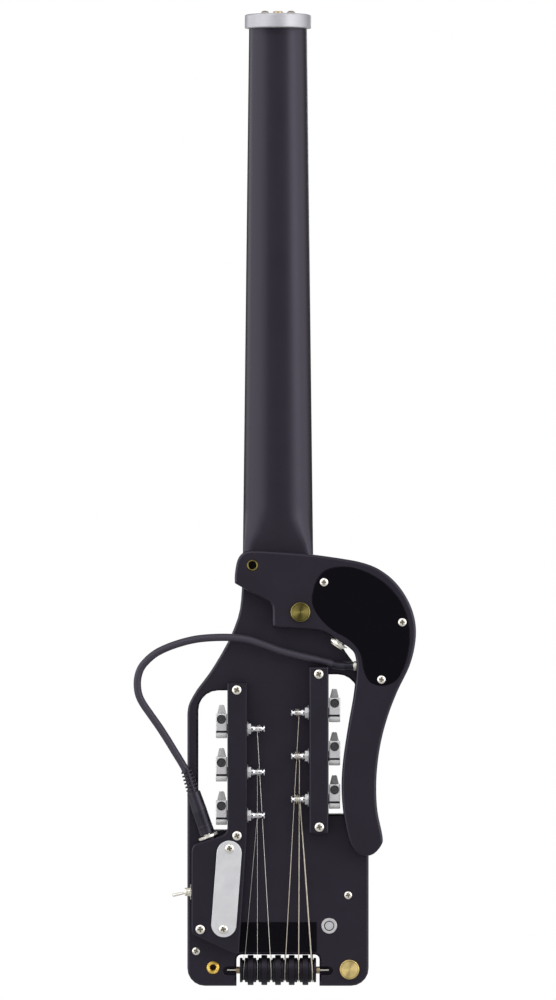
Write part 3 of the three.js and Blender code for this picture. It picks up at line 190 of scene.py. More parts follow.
def placed(piece, place=(0, 0, 0), along=UP, turn=0.0, scale=(1, 1, 1)):
    """The piece with its own +Z laid along a direction and its origin at a place."""
    alone(piece)
    piece.rotation_mode = "QUATERNION"
    piece.rotation_quaternion = (
        Vector(UP).rotation_difference(Vector(along).normalized()) @ Quaternion(UP, turn))
    piece.location = place
    piece.scale = scale
    bpy.ops.object.transform_apply(location=True, rotation=True, scale=True)
    return piece


def modified(piece, kind, **settings):
    """A modifier, set and applied."""
    alone(piece)
    modifier = piece.modifiers.new(kind.lower(), kind)
    for name, value in settings.items():
        setattr(modifier, name, value)
    bpy.ops.object.modifier_apply(modifier=modifier.name)
    return piece


def eased(piece, width, segments, angle):
    """Edges sharper than an angle, rounded over."""
    return modified(piece, "BEVEL", width=width, segments=segments, limit_method="ANGLE",
                    angle_limit=math.radians(angle))


def carved(piece, *tools, operation="DIFFERENCE"):
    """The piece cut by tools, which are used up."""
    for tool in tools:
        modified(piece, "BOOLEAN", object=tool, operation=operation, solver="EXACT")
        bpy.data.objects.remove(tool)
    return piece


def joined(piece, *others):
    """The piece with others merged into it."""
    alone(piece)
    for other in others:
        other.select_set(True)
    bpy.ops.object.join()
    return piece


def twin(master, name, matrix=Matrix.Identity(4)):
    """A copy with its own mesh, moved by a matrix."""
    piece = bpy.data.objects.new(name, master.data.copy())
    scene.collection.objects.link(piece)
    piece.data.transform(matrix)
    if matrix.determinant() < 0:
        piece.data.flip_normals()
    return piece


def line(name, points):
    """A vertex extruded along points, left in edit mode."""
    bpy.ops.object.select_all(action="DESELECT")
    bpy.ops.mesh.primitive_plane_add(size=1)
    piece = bpy.context.object
    piece.name = name
    bpy.ops.object.mode_set(mode="EDIT")
    bpy.ops.mesh.merge(type="CENTER")
    points = [Vector(p) for p in points]
    bpy.ops.transform.translate(value=points[0])
    for here, there in zip(points, points[1:]):
        bpy.ops.mesh.extrude_vertices_move(TRANSFORM_OT_translate={"value": there - here})
    return piece


def closed_up(piece, threshold=1e-3):
    """Doubles merged, faces turned out, and edit mode left."""
    bpy.ops.mesh.select_all(action="SELECT")
    bpy.ops.mesh.remove_doubles(threshold=threshold)
    bpy.ops.mesh.normals_make_consistent(inside=False)
    bpy.ops.object.mode_set(mode="OBJECT")
    return piece


def turned(name, profile, place=(0, 0, 0), along=UP, steps=64):
    """A profile of (distance along the axis, radius) pairs, spun round the axis."""
    piece = line(name, [(radius, 0, distance) for distance, radius in profile])
    bpy.ops.mesh.select_all(action="SELECT")
    bpy.ops.mesh.spin(steps=steps, angle=2 * math.pi, center=(0, 0, 0), axis=UP)
    return placed(closed_up(piece), place, along)


def prism(name, outline, sweep):
    """A closed outline of points, filled and extruded along a vector."""
    piece = line(name, list(outline) + [outline[0]])
    bpy.ops.mesh.select_all(action="SELECT")
    bpy.ops.mesh.remove_doubles(threshold=1e-3)
    bpy.ops.mesh.edge_face_add()
    bpy.ops.mesh.extrude_region_move(TRANSFORM_OT_translate={"value": Vector(sweep)})
    return closed_up(piece)


def cylinder(radius, low, high, place, way=FRONT, steps=48):
    """A plain rod, mostly to carve with."""
    return turned("rod", [(low, 0), (low, radius), (high, radius), (high, 0)], place, way, steps)


def block(name, low, high):
    """A cuboid between two corners."""
    bpy.ops.object.select_all(action="DESELECT")
    bpy.ops.mesh.primitive_cube_add(size=1, location=[(a + b) / 2 for a, b in zip(low, high)])
    piece = bpy.context.object
    piece.name = name
    piece.scale = [b - a for a, b in zip(low, high)]
    bpy.ops.object.transform_apply(location=True, rotation=True, scale=True)
    return piece


def tube(name, points, radius, resolution):
    """A round wire through points, as a mesh with closed ends."""
    curve = bpy.data.curves.new(name, "CURVE")
    curve.dimensions = "3D"
    curve.bevel_depth = radius
    curve.bevel_resolution = resolution
    curve.use_fill_caps = True
    spline = curve.splines.new("POLY")
    spline.points.add(len(points) - 1)
    for target, point in zip(spline.points, points):
        target.co = (*point, 1)
    piece = bpy.data.objects.new(name, curve)
    scene.collection.objects.link(piece)
    alone(piece)
    bpy.ops.object.convert(target="MESH")
    piece = bpy.context.object
    bpy.ops.object.mode_set(mode="EDIT")
    return closed_up(piece, 1e-5)


def opened(piece):
    """The piece in edit mode, with everything selected."""
    alone(piece)
    bpy.ops.object.mode_set(mode="EDIT")
    bpy.ops.mesh.select_all(action="SELECT")


def refined(node, name):
    """A CAD node's copy in the guitar's millimetres, with its triangles merged back to faces."""
    piece = twin(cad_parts[node], name,
                 Matrix.Translation((0, AXIS_DEPTH, NECK_TOP)) @ Matrix.Scale(1 / MM, 4))
    opened(piece)
    bpy.ops.mesh.remove_doubles(threshold=2e-3)
    bpy.ops.mesh.dissolve_limited(angle_limit=math.radians(0.4))
    bpy.ops.object.mode_set(mode="OBJECT")
    return piece


def softened(piece, low, high, top):
    """The slight edges between an outline's facets below a height, split into finer facets, where
    only the two walls and one flat face meet at their ends."""
    alone(piece)
    mesh = piece.data
    faces = {}
    for face in mesh.polygons:
        for key in face.edge_keys:
            faces.setdefault(key, []).append(face.normal)
    meeting_at = [0] * len(mesh.vertices)
    for key in mesh.edge_keys:
        for i in key:
            meeting_at[i] += 1
    bpy.ops.object.mode_set(mode="EDIT")
    bpy.ops.mesh.select_all(action="DESELECT")
    bpy.ops.mesh.select_mode(type="EDGE")
    bpy.ops.object.mode_set(mode="OBJECT")
    for edge in mesh.edges:
        meeting = faces.get(edge.key, [])
        plain = all(meeting_at[i] == 3 and mesh.vertices[i].co.z < top for i in edge.vertices)
        if plain and len(meeting) == 2 and max(abs(normal.y) for normal in meeting) < 0.1:
            edge.select = low < math.degrees(meeting[0].angle(meeting[1], 0)) < high
    bpy.ops.object.mode_set(mode="EDIT")
    bpy.ops.mesh.bevel(offset_type="PERCENT", offset_pct=30, segments=2, affect="EDGES")
    bpy.ops.mesh.select_mode(type="VERT")
    bpy.ops.object.mode_set(mode="OBJECT")
    return piece


def sliced(piece, place, normal):
    """What lies beyond a plane cut away, and the cut filled."""
    opened(piece)
    bpy.ops.mesh.bisect(plane_co=place, plane_no=normal, use_fill=True, clear_outer=True)
    bpy.ops.object.mode_set(mode="OBJECT")
    return piece


def arc(x, z, radius, start, end, steps):
    """Points on an arc, by angles in degrees."""
    turns = [math.radians(start + (end - start) * i / steps) for i in range(steps + 1)]
    return [(x + radius * math.cos(t), z + radius * math.sin(t)) for t in turns]


def leaning(degrees):
    """The direction that leans from +Z towards +X by an angle."""
    return Vector((math.sin(math.radians(degrees)), 0, math.cos(math.radians(degrees))))


def catmull(points, steps):
    """A centripetal Catmull-Rom line through points."""
    points = [Vector(p) for p in points]
    ends = [2 * points[0] - points[1], *points, 2 * points[-1] - points[-2]]
    found = []
    for p0, p1, p2, p3 in zip(ends, ends[1:], ends[2:], ends[3:]):
        t1 = (p1 - p0).length ** 0.5
        t2 = t1 + (p2 - p1).length ** 0.5
        t3 = t2 + (p3 - p2).length ** 0.5
        for step in range(steps):
            t = t1 + (t2 - t1) * step / steps
            a1 = p0.lerp(p1, t / t1)
            a2 = p1.lerp(p2, (t - t1) / (t2 - t1))
            a3 = p2.lerp(p3, (t - t2) / (t3 - t2))
            b1 = a1.lerp(a2, t / t2)
            b2 = a2.lerp(a3, (t - t1) / (t3 - t1))
            found.append(b1.lerp(b2, (t - t1) / (t2 - t1)))
    return found + [points[-1]]


def finish(piece, material, body, slot, *nodes, smooth=32):
    """The piece settled in the frame's metres, smoothed, coloured, and riding on its body."""
    alone(piece)
    piece.scale = (MM, MM, MM)
    piece.location = at(0, 0, 0)
    bpy.ops.object.transform_apply(location=True, rotation=True, scale=True)
    bpy.ops.object.shade_smooth_by_angle(angle=math.radians(smooth))
    modified(piece, "WEIGHTED_NORMAL", keep_sharp=True)
    piece.data.name = piece.name
    piece.data.materials.clear()
    piece.data.materials.append(material)
    if body:
        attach(piece, body)
    if nodes:
        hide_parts(*nodes)
    return piece


def lathed(name, profile, place, way, look, *nodes, steps=64, smooth=32):
    """A turned piece, finished: its look is a material, a body and a slot, and the slot is not used."""
    return finish(turned(name, profile, place, way, steps), *look, *nodes, smooth=smooth)


# Finishes

VIOLET = (0.87, 0.8, 1.0, 1.0)


def surface(name, dark, light, grain, rough, relief, stretch=(1, 1, 1), patch=18.0, metal=0.0, violet=None,
            sockets=()):
    """A finish whose colour drifts between two over patches of some millimetres, whose roughness
    drifts with it, and whose grain, in millimetres, stands up by a relief in millimetres. Violet is
    the specular level of a black whose sheen is slightly violet."""
    material = bpy.data.materials.new(name)
    material.use_nodes = True
    tree = material.node_tree
    shader = tree.nodes["Principled BSDF"]
    shader.inputs["Metallic"].default_value = metal
    if violet:
        sockets = {"Specular IOR Level": violet, "Specular Tint": VIOLET}
    for socket, value in dict(sockets).items():
        shader.inputs[socket].default_value = value
    where = add_node(tree, "TexCoord")
    laid = add_node(tree, "Mapping", inputs={"Scale": stretch}, links={"Vector": where.outputs["Object"]})
    clouds = add_node(tree, "TexNoise", inputs={"Scale": 1 / (patch * MM), "Detail": 3.0},
                      links={"Vector": where.outputs["Object"]})
    grit = add_node(tree, "TexNoise", inputs={"Scale": 1 / (grain * MM), "Detail": 2.0},
                    links={"Vector": laid.outputs["Vector"]})
    mixed = add_node(tree, "Mix", {"data_type": "FLOAT"}, {0: 0.45},
                     {2: clouds.outputs["Fac"], 3: grit.outputs["Fac"]})
    tint = ramp(tree, mixed.outputs[0], [(0.3, dark), (0.7, light)])
    tree.links.new(tint.outputs["Color"], shader.inputs["Base Color"])
    gloss = add_node(tree, "MapRange", links={"Value": mixed.outputs[0]}, inputs={
        "From Min": 0.3, "From Max": 0.7, "To Min": rough[0], "To Max": rough[1]})
    tree.links.new(gloss.outputs["Result"], shader.inputs["Roughness"])
    if relief:
        bump = add_node(tree, "Bump", inputs={"Strength": 1.0, "Distance": relief * MM},
                        links={"Height": grit.outputs["Fac"]})
        tree.links.new(bump.outputs["Normal"], shader.inputs["Normal"])
    return material


def colouring(material):
    """A finish's tree, its shader, and the socket that its colour comes from."""
    tree = material.node_tree
    shader = tree.nodes["Principled BSDF"]
    return tree, shader, shader.inputs["Base Color"].links[0].from_socket


def overlaid(material, factor, colour):
    """The finish with another colour where a socket of its tree reads one."""
    tree, shader, under = colouring(material)
    mixed = add_node(tree, "Mix", {"data_type": "RGBA"}, {7: linear(colour)}, {0: factor, 6: under})
    tree.links.new(mixed.outputs[2], shader.inputs["Base Color"])
    return material


def shade_painted_by_face(material, attribute, colour):
    """The finish with another colour, painted shade, where a face's attribute says so."""
    marked = add_node(material.node_tree, "Attribute", {"attribute_name": attribute})
    return overlaid(material, marked.outputs["Fac"], colour)


def highlight_painted_below(material, height):
    """The finish painted white below a height in the guitar's millimetres: a painted highlight."""
    tree = material.node_tree
    where = add_node(tree, "TexCoord")
    split = add_node(tree, "SeparateXYZ", links={"Vector": where.outputs["Object"]})
    below = add_node(tree, "Math", {"operation": "LESS_THAN"}, {1: at(0, 0, height).z},
                     {0: split.outputs["Z"]})
    return overlaid(material, below.outputs[0], "ffffff")


# Satin polyester lacquer over a sanded primer: very dark and slightly violet, with a soft sheen
# on curves and a faint tooth of 0.6 mm.
lacquer = surface("satin_black_lacquer", "15111a", "18141e", 0.6, (0.34, 0.4), 0.004, violet=0.41)
# Moulded ABS with a spark-eroded skin: the same black, a shade warmer and duller.
moulded = surface("moulded_black_abs", "120f17", "15121b", 0.5, (0.38, 0.46), 0.006, violet=0.36)
# Cast acrylic cover, polished: deep black that mirrors little from straight ahead.
acrylic = surface("polished_black_acrylic", "07060b", "09080e", 0.8, (0.16, 0.2), 0.0, violet=0.12)
# Acetal of wheels, knobs and seals, turned and slightly greasy.
acetal = surface("turned_black_acetal", "0c0b0f", "131216", 0.4, (0.36, 0.46), 0.003, violet=0.3)
# Soft PVC jacket: dull black with a powdery bloom.
pvc = surface("soft_black_pvc", "35323a", "3e3a43", 0.5, (0.46, 0.56), 0.005, violet=0.42)
# The plugs' shells and boots, the same black but moulded hard and smoother.
shell = surface("hard_black_pvc", "16141b", "1c1a22", 0.5, (0.36, 0.44), 0.003, violet=0.45)
# Pressed wool felt, dyed black: no gloss, a fine matted nap and a pale fuzz at grazing light.
felt_cloth = surface("pressed_black_felt", "08070b", "141218", 0.45, (0.9, 1.0), 0.12, patch=2.2, sockets={
    "Sheen Weight": 0.25, "Sheen Roughness": 0.5, "Specular IOR Level": 0.05, "Sheen Tint": linear("8d8a96")})
# Nickel plate, barrel-finished: warm, bright, a little milky.
nickel = surface("bright_nickel_plate", "d6d2c8", "e6e2d9", 0.35, (0.2, 0.3), 0.001, patch=4.0, metal=1.0)
# Satin nickel of the jacks' nuts and rings: warm, pale and evenly bright.
satin_nickel = surface("satin_nickel_plate", "ece8de", "f8f5ec", 0.3, (0.3, 0.4), 0.001, patch=3.0,
                       metal=0.55)
# Old nickel on the cap's domed screws, greyed by handling.
aged_nickel = surface("aged_nickel_plate", "8d8781", "9b958e", 0.3, (0.34, 0.44), 0.001, patch=2.0, metal=0.6)
# Screws: the same nickel, with painted shade, a dull brown, in the cross recess.
screw_nickel = shade_painted_by_face(surface("nickel_plated_screw", "e0dcd2", "f0ece3", 0.35, (0.24, 0.34), 0.001,
                                 patch=4.0, metal=0.85), "recess", "8a8172")
# Tumbled zinc plate of bushings and bolt: pale, cool and half matt.
zinc = surface("tumbled_zinc_plate", "c6c6c9", "d4d4d6", 0.3, (0.36, 0.46), 0.001, patch=3.0, metal=0.55)
# Chrome plate on the turned posts: cold and mirror-like, with the faint waves under the plate.
chrome = surface("chrome_plated_zinc", "c9c9cd", "d8d8dc", 1.4, (0.1, 0.16), 0.003, patch=6.0, metal=1.0)
# Satin chrome on the housings' flat faces, brushed along their length, and on the bolt's washer.
satin_chrome = surface("satin_chrome", "d4d2d4", "e2e0e2", 0.2, (0.3, 0.38), 0.001, (1, 1, 0.12), 5.0, 0.7)
# The housings' lower ends: a nearly white matt colour that paints the bright reflection of their chrome.
end_painted_reflection = surface("housing_end_painted_reflection", "fafafa", "ffffff", 0.3, (0.3, 0.38), 0.001, patch=4.0,
                       metal=0.05)
# Zinc buttons, bead-blasted and pale, without gloss: their near-white colour is painted light, lighter than
# their grey to make up for the shade they sit in.
button_painted_light = surface("pale_zinc_painted_light", "f6f6f7", "ffffff", 0.25, (0.42, 0.5), 0.004, patch=3.0)
# The cap's aluminium, brushed and clear-anodised, with a painted highlight, white, along its foot.
aluminium = highlight_painted_below(surface("brushed_anodised_aluminium", "b4b3b9", "c1c0c6", 0.18, (0.36, 0.44), 0.0012,
                                (0.06, 1, 1), 9.0, 0.3), 699.08)
# Plate, brushed along its length.
brushed_plate = surface("brushed_aluminium_plate", "dcdce0", "ebebee", 0.16, (0.36, 0.44), 0.0012,
                        (1, 1, 0.05), 9.0, 0.45)
# Plain string steel, drawn and bare.
wire = surface("drawn_string_steel", "f0ece2", "fbf8f0", 0.8, (0.3, 0.4), 0.0, patch=3.0, metal=0.6)
# Nickel-wound string: browner, with its wraps drawn far coarser than the real 0.1 mm so that they show.
wound = surface("nickel_wound_string", "b4ab9c", "d4ccbe", 0.7, (0.32, 0.44), 0.0, (0.2, 0.2, 1), 3.0, 0.7)
# Ebony-dyed fretboard with open pores along the grain.
ebony = surface("dyed_ebony", "17110f", "2a201c", 0.5, (0.42, 0.55), 0.03, (1, 1, 0.06), 14.0)
# Polished bone for nut and saddle, warm and slightly translucent.
bone = surface("polished_bone", "ddd6c0", "eee8d6", 0.6, (0.3, 0.38), 0.004, (1, 1, 0.3), 6.0,
               sockets={"Subsurface Weight": 0.1, "Subsurface Scale": 0.002})
# Nickel silver of the frets.
fret_wire = surface("nickel_silver_fret_wire", "c3c0b6", "d8d5cb", 0.3, (0.18, 0.26), 0.001, patch=4.0,
                    metal=1.0)
# Mother-of-pearl acrylic of the dots.
pearl = surface("pearl_acrylic", "d6d3cc", "f2f0ea", 1.2, (0.2, 0.3), 0.0, patch=1.6)
# Gunmetal plugs at the worms' ends: dark and half matt.
gunmetal = surface("gunmetal_plug", "434345", "525255", 0.3, (0.34, 0.42), 0.002, patch=2.0, metal=0.9)
# Yellow brass of the ball ends, a little dulled.
ball_brass = surface("turned_yellow_brass", "9c8146", "c2a564", 0.5, (0.3, 0.4), 0.002, patch=2.0, metal=1.0)
# Bronze of the axle's collars and the truss rod's nut, pale and oily.
bronze = surface("oiled_bronze", "a59579", "c2b292", 0.4, (0.34, 0.44), 0.002, patch=2.0, metal=0.9)

LATHE_RINGS = 0.34
HEAD_RADIUS = 8


def brass(name, dark, light, place, rough, fan=0.9, groove=0.8, rim=1.05):
    """Brass faced on a lathe about a place. The tool leaves rings, drawn coarser than the real 0.05 mm so
    that they show. A painted fan of highlight and shade changes the colour by a factor where it is upright,
    painted shade darkens a groove by its factor, and the rim is made brighter by its."""
    material = surface(name, dark, light, 0.4, rough, 0.0, patch=9.0, metal=1.0,
                       sockets={"Anisotropic": 0.95, "Anisotropic Rotation": 0.25})
    tree, shader, colour_with_painted_light = colouring(material)
    where = add_node(tree, "TexCoord")
    centre = at(*place)
    moved = add_node(tree, "Mapping", {"vector_type": "POINT"}, {"Location": -centre},
                     {"Vector": where.outputs["Object"]})
    lathed = add_node(tree, "TexWave", {"wave_type": "RINGS", "rings_direction": "Y"},
                      {"Scale": math.pi / 10 / (LATHE_RINGS * MM), "Distortion": 0.0},
                      {"Vector": moved.outputs["Vector"]})
    bump = add_node(tree, "Bump", inputs={"Strength": 1.0, "Distance": 0.004 * MM},
                    links={"Height": lathed.outputs["Fac"]})
    spun = add_node(tree, "Tangent", {"direction_type": "RADIAL", "axis": "Y"})
    tree.links.new(bump.outputs["Normal"], shader.inputs["Normal"])
    tree.links.new(spun.outputs["Tangent"], shader.inputs["Tangent"])
    flat = add_node(tree, "VectorMath", {"operation": "MULTIPLY_ADD"},
                    {1: (1, 0, 1), 2: (-centre.x, 0, -centre.z)}, {0: where.outputs["Object"]})
    reach = add_node(tree, "VectorMath", {"operation": "LENGTH"}, links={0: flat.outputs["Vector"]})
    share = add_node(tree, "MapRange", inputs={"From Max": HEAD_RADIUS * MM},
                     links={"Value": reach.outputs["Value"]})
    unit = add_node(tree, "VectorMath", {"operation": "NORMALIZE"}, links={0: flat.outputs["Vector"]})
    split = add_node(tree, "SeparateXYZ", links={"Vector": unit.outputs["Vector"]})
    upright = add_node(tree, "Math", {"operation": "ABSOLUTE"}, links={0: split.outputs["Z"]})
    wedges = ramp(tree, upright.outputs[0], [(0.0, 1.08), (0.3, 1.0), (0.8, (1 + fan) / 2), (1.0, fan)],
                  "EASE")
    edge = ramp(tree, share.outputs["Result"], [(0.0, 1.0), (0.755, 1.0), (0.765, groove), (0.785, groove),
                                                (0.795, rim), (1.0, rim)])
    for factor in (wedges, edge):
        mixed = add_node(tree, "Mix", {"data_type": "RGBA", "blend_type": "MULTIPLY"}, {0: 1.0},
                         {6: colour_with_painted_light, 7: factor.outputs["Color"]})
        colour_with_painted_light = mixed.outputs[2]
    tree.links.new(colour_with_painted_light, shader.inputs["Base Color"])
    return material


# Patch cable, its plugs and the sockets

CABLE_RADIUS = 2.75
CABLE_ROUTE = [
    (43.4, -10, 233.65), (42.3, -10, 234.0), (40, -10, 234.75), (36.8, -10.1, 235.85),
    (30.6, -10.4, 237.4), (22.6, -11, 239.4), (13.9, -11.5, 241.4), (1.5, -12, 244.8), (-10.9, -12.3, 249.2),
    (-22.8, -12.4, 253), (-35, -12.4, 254.3), (-47.4, -12.3, 254.2), (-59.1, -12, 253.1),
    (-69.3, -11.7, 250.8), (-80.2, -11.3, 247.1), (-89, -11, 242.7), (-95.2, -10.7, 237.6),
    (-99.8, -10.5, 231.8), (-102.1, -10.3, 224.5), (-102.2, -10.2, 217.2), (-100.9, -10.1, 211.4),
    (-98.2, -10, 206), (-92.9, -10, 198.3), (-86.5, -10, 189.2), (-80.3, -10, 179.6),
    (-75, -10, 170.9), (-70.5, -10, 163.6), (-68.2, -10, 159.6), (-66.7, -10, 156.0),
]
ROUTE_STEPS = 8
JACK_SEAT, JACK_WAY, SOCKET_WAY = Vector((-50.3, -10, 108.4)), leaning(-18.7), leaning(-22)
MINI_SEAT, MINI_WAY = Vector((57.0, -10, 233.65)), LEFT
OUTPUT_SEAT, OUTPUT_WAY = Vector((44.3, -10, 250.7)), leaning(-146.4)

cable_line = catmull(CABLE_ROUTE, ROUTE_STEPS)
cable = tube("patch_cord", cable_line, CABLE_RADIUS, 7)
finish(cable, pvc, None, "cable_rubber", "patch_cable", smooth=60)
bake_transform(cable)


def rings(start, end, root, crest, count):
    """Fine turned grooves along a sleeve: (distance, radius) pairs between two radii."""
    pitch = (end - start) / count
    return [pair for i in range(count) for pair in (
        (start + pitch * i, crest), (start + pitch * (i + 0.45), crest),
        (start + pitch * (i + 0.55), root), (start + pitch * (i + 0.9), root))]


def ribbed(start, length, foot, tip, ribs):
    """A strain relief's profile: ribs that shrink along it, closed round the cable."""
    profile = [(start - 0.6, 0), (start - 0.6, foot * 0.7)]
    pitch = length / ribs
    for i in range(ribs):
        here, there = (foot + (tip - foot) * (i + share) / ribs for share in (0.3, 1.0))
        base = start + pitch * i
        profile += [(base, here - 1.5), (base + pitch * 0.5, here - 1.5), (base + pitch * 0.56, here - 0.15),
                    (base + pitch * 0.6, here), (base + pitch * 0.94, there), (base + pitch, there - 0.15)]
    end = start + length
    return profile + [(end, tip - 0.2), (end + 0.4, CABLE_RADIUS + 0.4), (end + 2.0, CABLE_RADIUS + 0.16),
                      (end + 2.2, CABLE_RADIUS - 0.1), (end + 2.2, 0)]


def thread(start, end, root, crest, pitch):
    """A turned thread's profile: crests and roots of one pitch."""
    count = round((end - start) / pitch)
    return [pair for i in range(count) for pair in (
        (start + pitch * i, root), (start + pitch * (i + 0.5), crest))] + [(end, root)]


def nut(name, radius, bore, low, high, place, way, turn=0.0):
    """A six-sided nut with its corners chamfered on both faces."""
    corners = [math.pi / 3 * i + turn for i in range(6)]
    thick, slope = high - low, radius * 0.07
    piece = prism(name, [(radius * math.cos(a), radius * math.sin(a), 0) for a in corners], (0, 0, thick))
    cone = turned(name + "_cone", [(0, 0), (0, radius * 0.9), (slope, radius * 1.01),
                                   (thick - slope, radius * 1.01), (thick, radius * 0.9), (thick, 0)])
    carved(piece, cone, operation="INTERSECT")
    carved(piece, turned(name + "_bore", [(-1, 0), (-1, bore), (thick + 1, bore), (thick + 1, 0)]))
    eased(piece, 0.12, 2, 20)
    placed(piece, (0, 0, low))
    return placed(piece, place, way)


plug_shank = lathed("plug_shank", [
    (-10.2, 0), (-10.2, 1.2), (-9.6, 1.9), (-7.9, 2.0), (-6.9, 1.55), (-6.2, 2.5), (-5.4, 3.0), (3.4, 3.0),
    (3.4, 0)], JACK_SEAT, JACK_WAY, (nickel, "guitar", "nickel"))
plug_sleeve = lathed("plug_sleeve", [
    (3.1, 0), (3.1, 5.2), (3.3, 5.4), (7.8, 5.5), (7.95, 5.25), (8.5, 5.25), (8.65, 5.5),
    *rings(9.6, 20.4, 5.2, 5.42, 14), (20.6, 5.38), (34.4, 4.95), (34.9, 4.85), (35.25, 4.5), (35.3, 3.4),
    (35.3, 0)], JACK_SEAT, JACK_WAY, (shell, "guitar", "cable_rubber"), "cable_plug", steps=96, smooth=25)
plug_boot = lathed("plug_boot", ribbed(35.35, 16.1, 4.75, 3.9, 6), JACK_SEAT, JACK_WAY,
                   (shell, "guitar", "cable_rubber"), steps=48, smooth=30)
lathed("body_socket", [
    (-16, 0), (-16, 4.0), (0.3, 4.0), (0.3, 7.0), (0.5, 7.25), (2.0, 7.25), (2.2, 7.0), (2.25, 5.6),
    (2.5, 3.35), (-15, 3.35), (-15, 0)],
    JACK_SEAT, SOCKET_WAY, (satin_nickel, "guitar", "chrome"), "body_jack")
# A black ring under the socket's flange: painted shade, filling the gap below it with dark.
lathed("socket_shade_filler", [(-2.6, 4.05), (-2.6, 5.9), (0.25, 5.9), (0.25, 4.05), (-2.6, 4.05)],
       JACK_SEAT, SOCKET_WAY, (acetal, "guitar", "cable_rubber"))

mini_sleeve = lathed("mini_sleeve", [
    (2.45, 0), (2.45, 2.7), (2.7, 2.95), (3.6, 2.95), *rings(3.9, 8.1, 2.72, 2.9, 6), (8.3, 3.0), (8.9, 3.0),
    (9.1, 2.8), (9.1, 0)], MINI_SEAT, MINI_WAY, (shell, "arm", "cable_rubber"), "mini_plug", smooth=28)
mini_boot = tube("mini_boot", catmull([(48.1, -10, 233.65), (46.3, -10, 233.6), (44.2, -10, 233.75),
                                       (42.3, -10, 234.15), (39.9, -10, 234.85)], 6), 3.0, 7)
finish(mini_boot, shell, "arm", "cable_rubber", smooth=60)
mini_shank = lathed("mini_shank", [
    (-7.5, 0), (-7.5, 0.6), (-6.9, 1.2), (-5.9, 1.25), (-5.3, 0.95), (-4.8, 1.6), (-4.3, 1.7), (2.4, 1.7),
    (2.4, 0)], MINI_SEAT, MINI_WAY, (nickel, "arm", "nickel"), steps=32)
lathed("mini_socket", [
    (-12, 0), (-12, 2.7), (0, 2.7), (0, 3.5), (1.7, 3.5), (2.05, 3.2), (2.1, 2.3), (1.95, 2.05),
    (-10.8, 2.05), (-10.8, 0)],
    MINI_SEAT, MINI_WAY, (satin_nickel, "arm", "nickel"), "arm_mini_jack", steps=48)

lathed("output_socket", [
    (-14, 0), (-14, 4.6), (0, 4.6), (0, 7.1), (0.1, 7.2), (0.5, 7.2), (0.6, 7.1), (0.6, 4.55),
    *thread(2.3, 3.2, 4.35, 4.6, 0.3), (3.6, 4.5), (3.7, 4.3), (3.7, 3.4), (3.5, 3.3), (-12.8, 3.3),
    (-12.8, 0)], OUTPUT_SEAT, OUTPUT_WAY, (satin_nickel, "arm", "nickel"), "arm_output_jack")
finish(nut("output_nut", 6.7, 4.62, 0.75, 2.3, OUTPUT_SEAT, OUTPUT_WAY, math.pi / 6), satin_nickel, "arm",
       "nickel")

# Body, neck and what is screwed to them

slab = refined("body_and_neck", "slab_and_neck")
softened(slab, low=2, high=24, top=290)
eased(slab, 0.5, 2, 28)
finish(slab, lacquer, "guitar", "satin_body", "body_and_neck", smooth=40)
for node, name in (("tuner_rail_right", "right_rail"), ("electronics_block", "electronics_housing")):
    piece = eased(refined(node, name), 0.55, 3, 25)
    finish(piece, moulded, "guitar", "satin_plastic", node, smooth=40)

ARM_EDGE = [
    (0.001, 0.893), (0.001, 0.922), (0.014, 0.966), (0.043, 0.991), (0.09, 1), (0.244, 0.996),
    (0.438, 0.986), (0.615, 0.971), (0.711, 0.959), (0.792, 0.94), (0.87, 0.906), (0.932, 0.861),
    (0.976, 0.809), (0.998, 0.752), (0.993, 0.689), (0.962, 0.62), (0.898, 0.541), (0.847, 0.463),
    (0.81, 0.384), (0.788, 0.305), (0.78, 0.226), (0.787, 0.147), (0.814, 0.068), (0.811, 0.039),
    (0.77, 0.009), (0.72, 0), (0.675, 0.008), (0.637, 0.039), (0.607, 0.108), (0.59, 0.206),
    (0.597, 0.305), (0.626, 0.423), (0.657, 0.528), (0.671, 0.614), (0.664, 0.656), (0.637, 0.679),
    (0.565, 0.708), (0.499, 0.732), (0.416, 0.742), (0.21, 0.749),
]
ARM_HOLLOW = [(0.21, 0.801), (0.207, 0.817), (0.192, 0.832), (0.156, 0.843), (0.05, 0.876)]
COVER_EDGE = [
    (0.424, 0.851), (0.446, 0.898), (0.499, 0.936), (0.602, 0.948), (0.711, 0.934), (0.826, 0.895),
    (0.914, 0.837), (0.956, 0.776), (0.967, 0.72), (0.958, 0.668), (0.931, 0.615), (0.887, 0.573),
    (0.814, 0.557), (0.746, 0.569), (0.71, 0.608), (0.69, 0.664), (0.638, 0.704), (0.535, 0.741),
    (0.464, 0.783), (0.429, 0.821),
]
ARM_BACK, ARM_FRONT = -20.0, -0.3
COVER_BACK = -20.5
CLAMP, RING = (16.3, 0, 272.9), (-18.6, 0, 306.9)
RAIL_SCREWS = ((-29.98, 216.3), (-29.8, 110.4), (29.6, 227.8), (30.0, 116.7), (-56.5, 42.4))
BACK_SCREWS = ((-59.7, 25.4), (51.1, 66.2))
COVER_SCREWS = ((33.4, 294.6), (90.3, 265.5), (75.1, 223.9))


def on_arm(share, depth=0.0):
    """A place on the arm by its shares across and up."""
    return Vector((-31.5 + 131.9 * share[0], depth, 95.5 + 222.1 * share[1]))


KNOBS = [on_arm((0.681, 0.837)), on_arm((0.847, 0.719))]


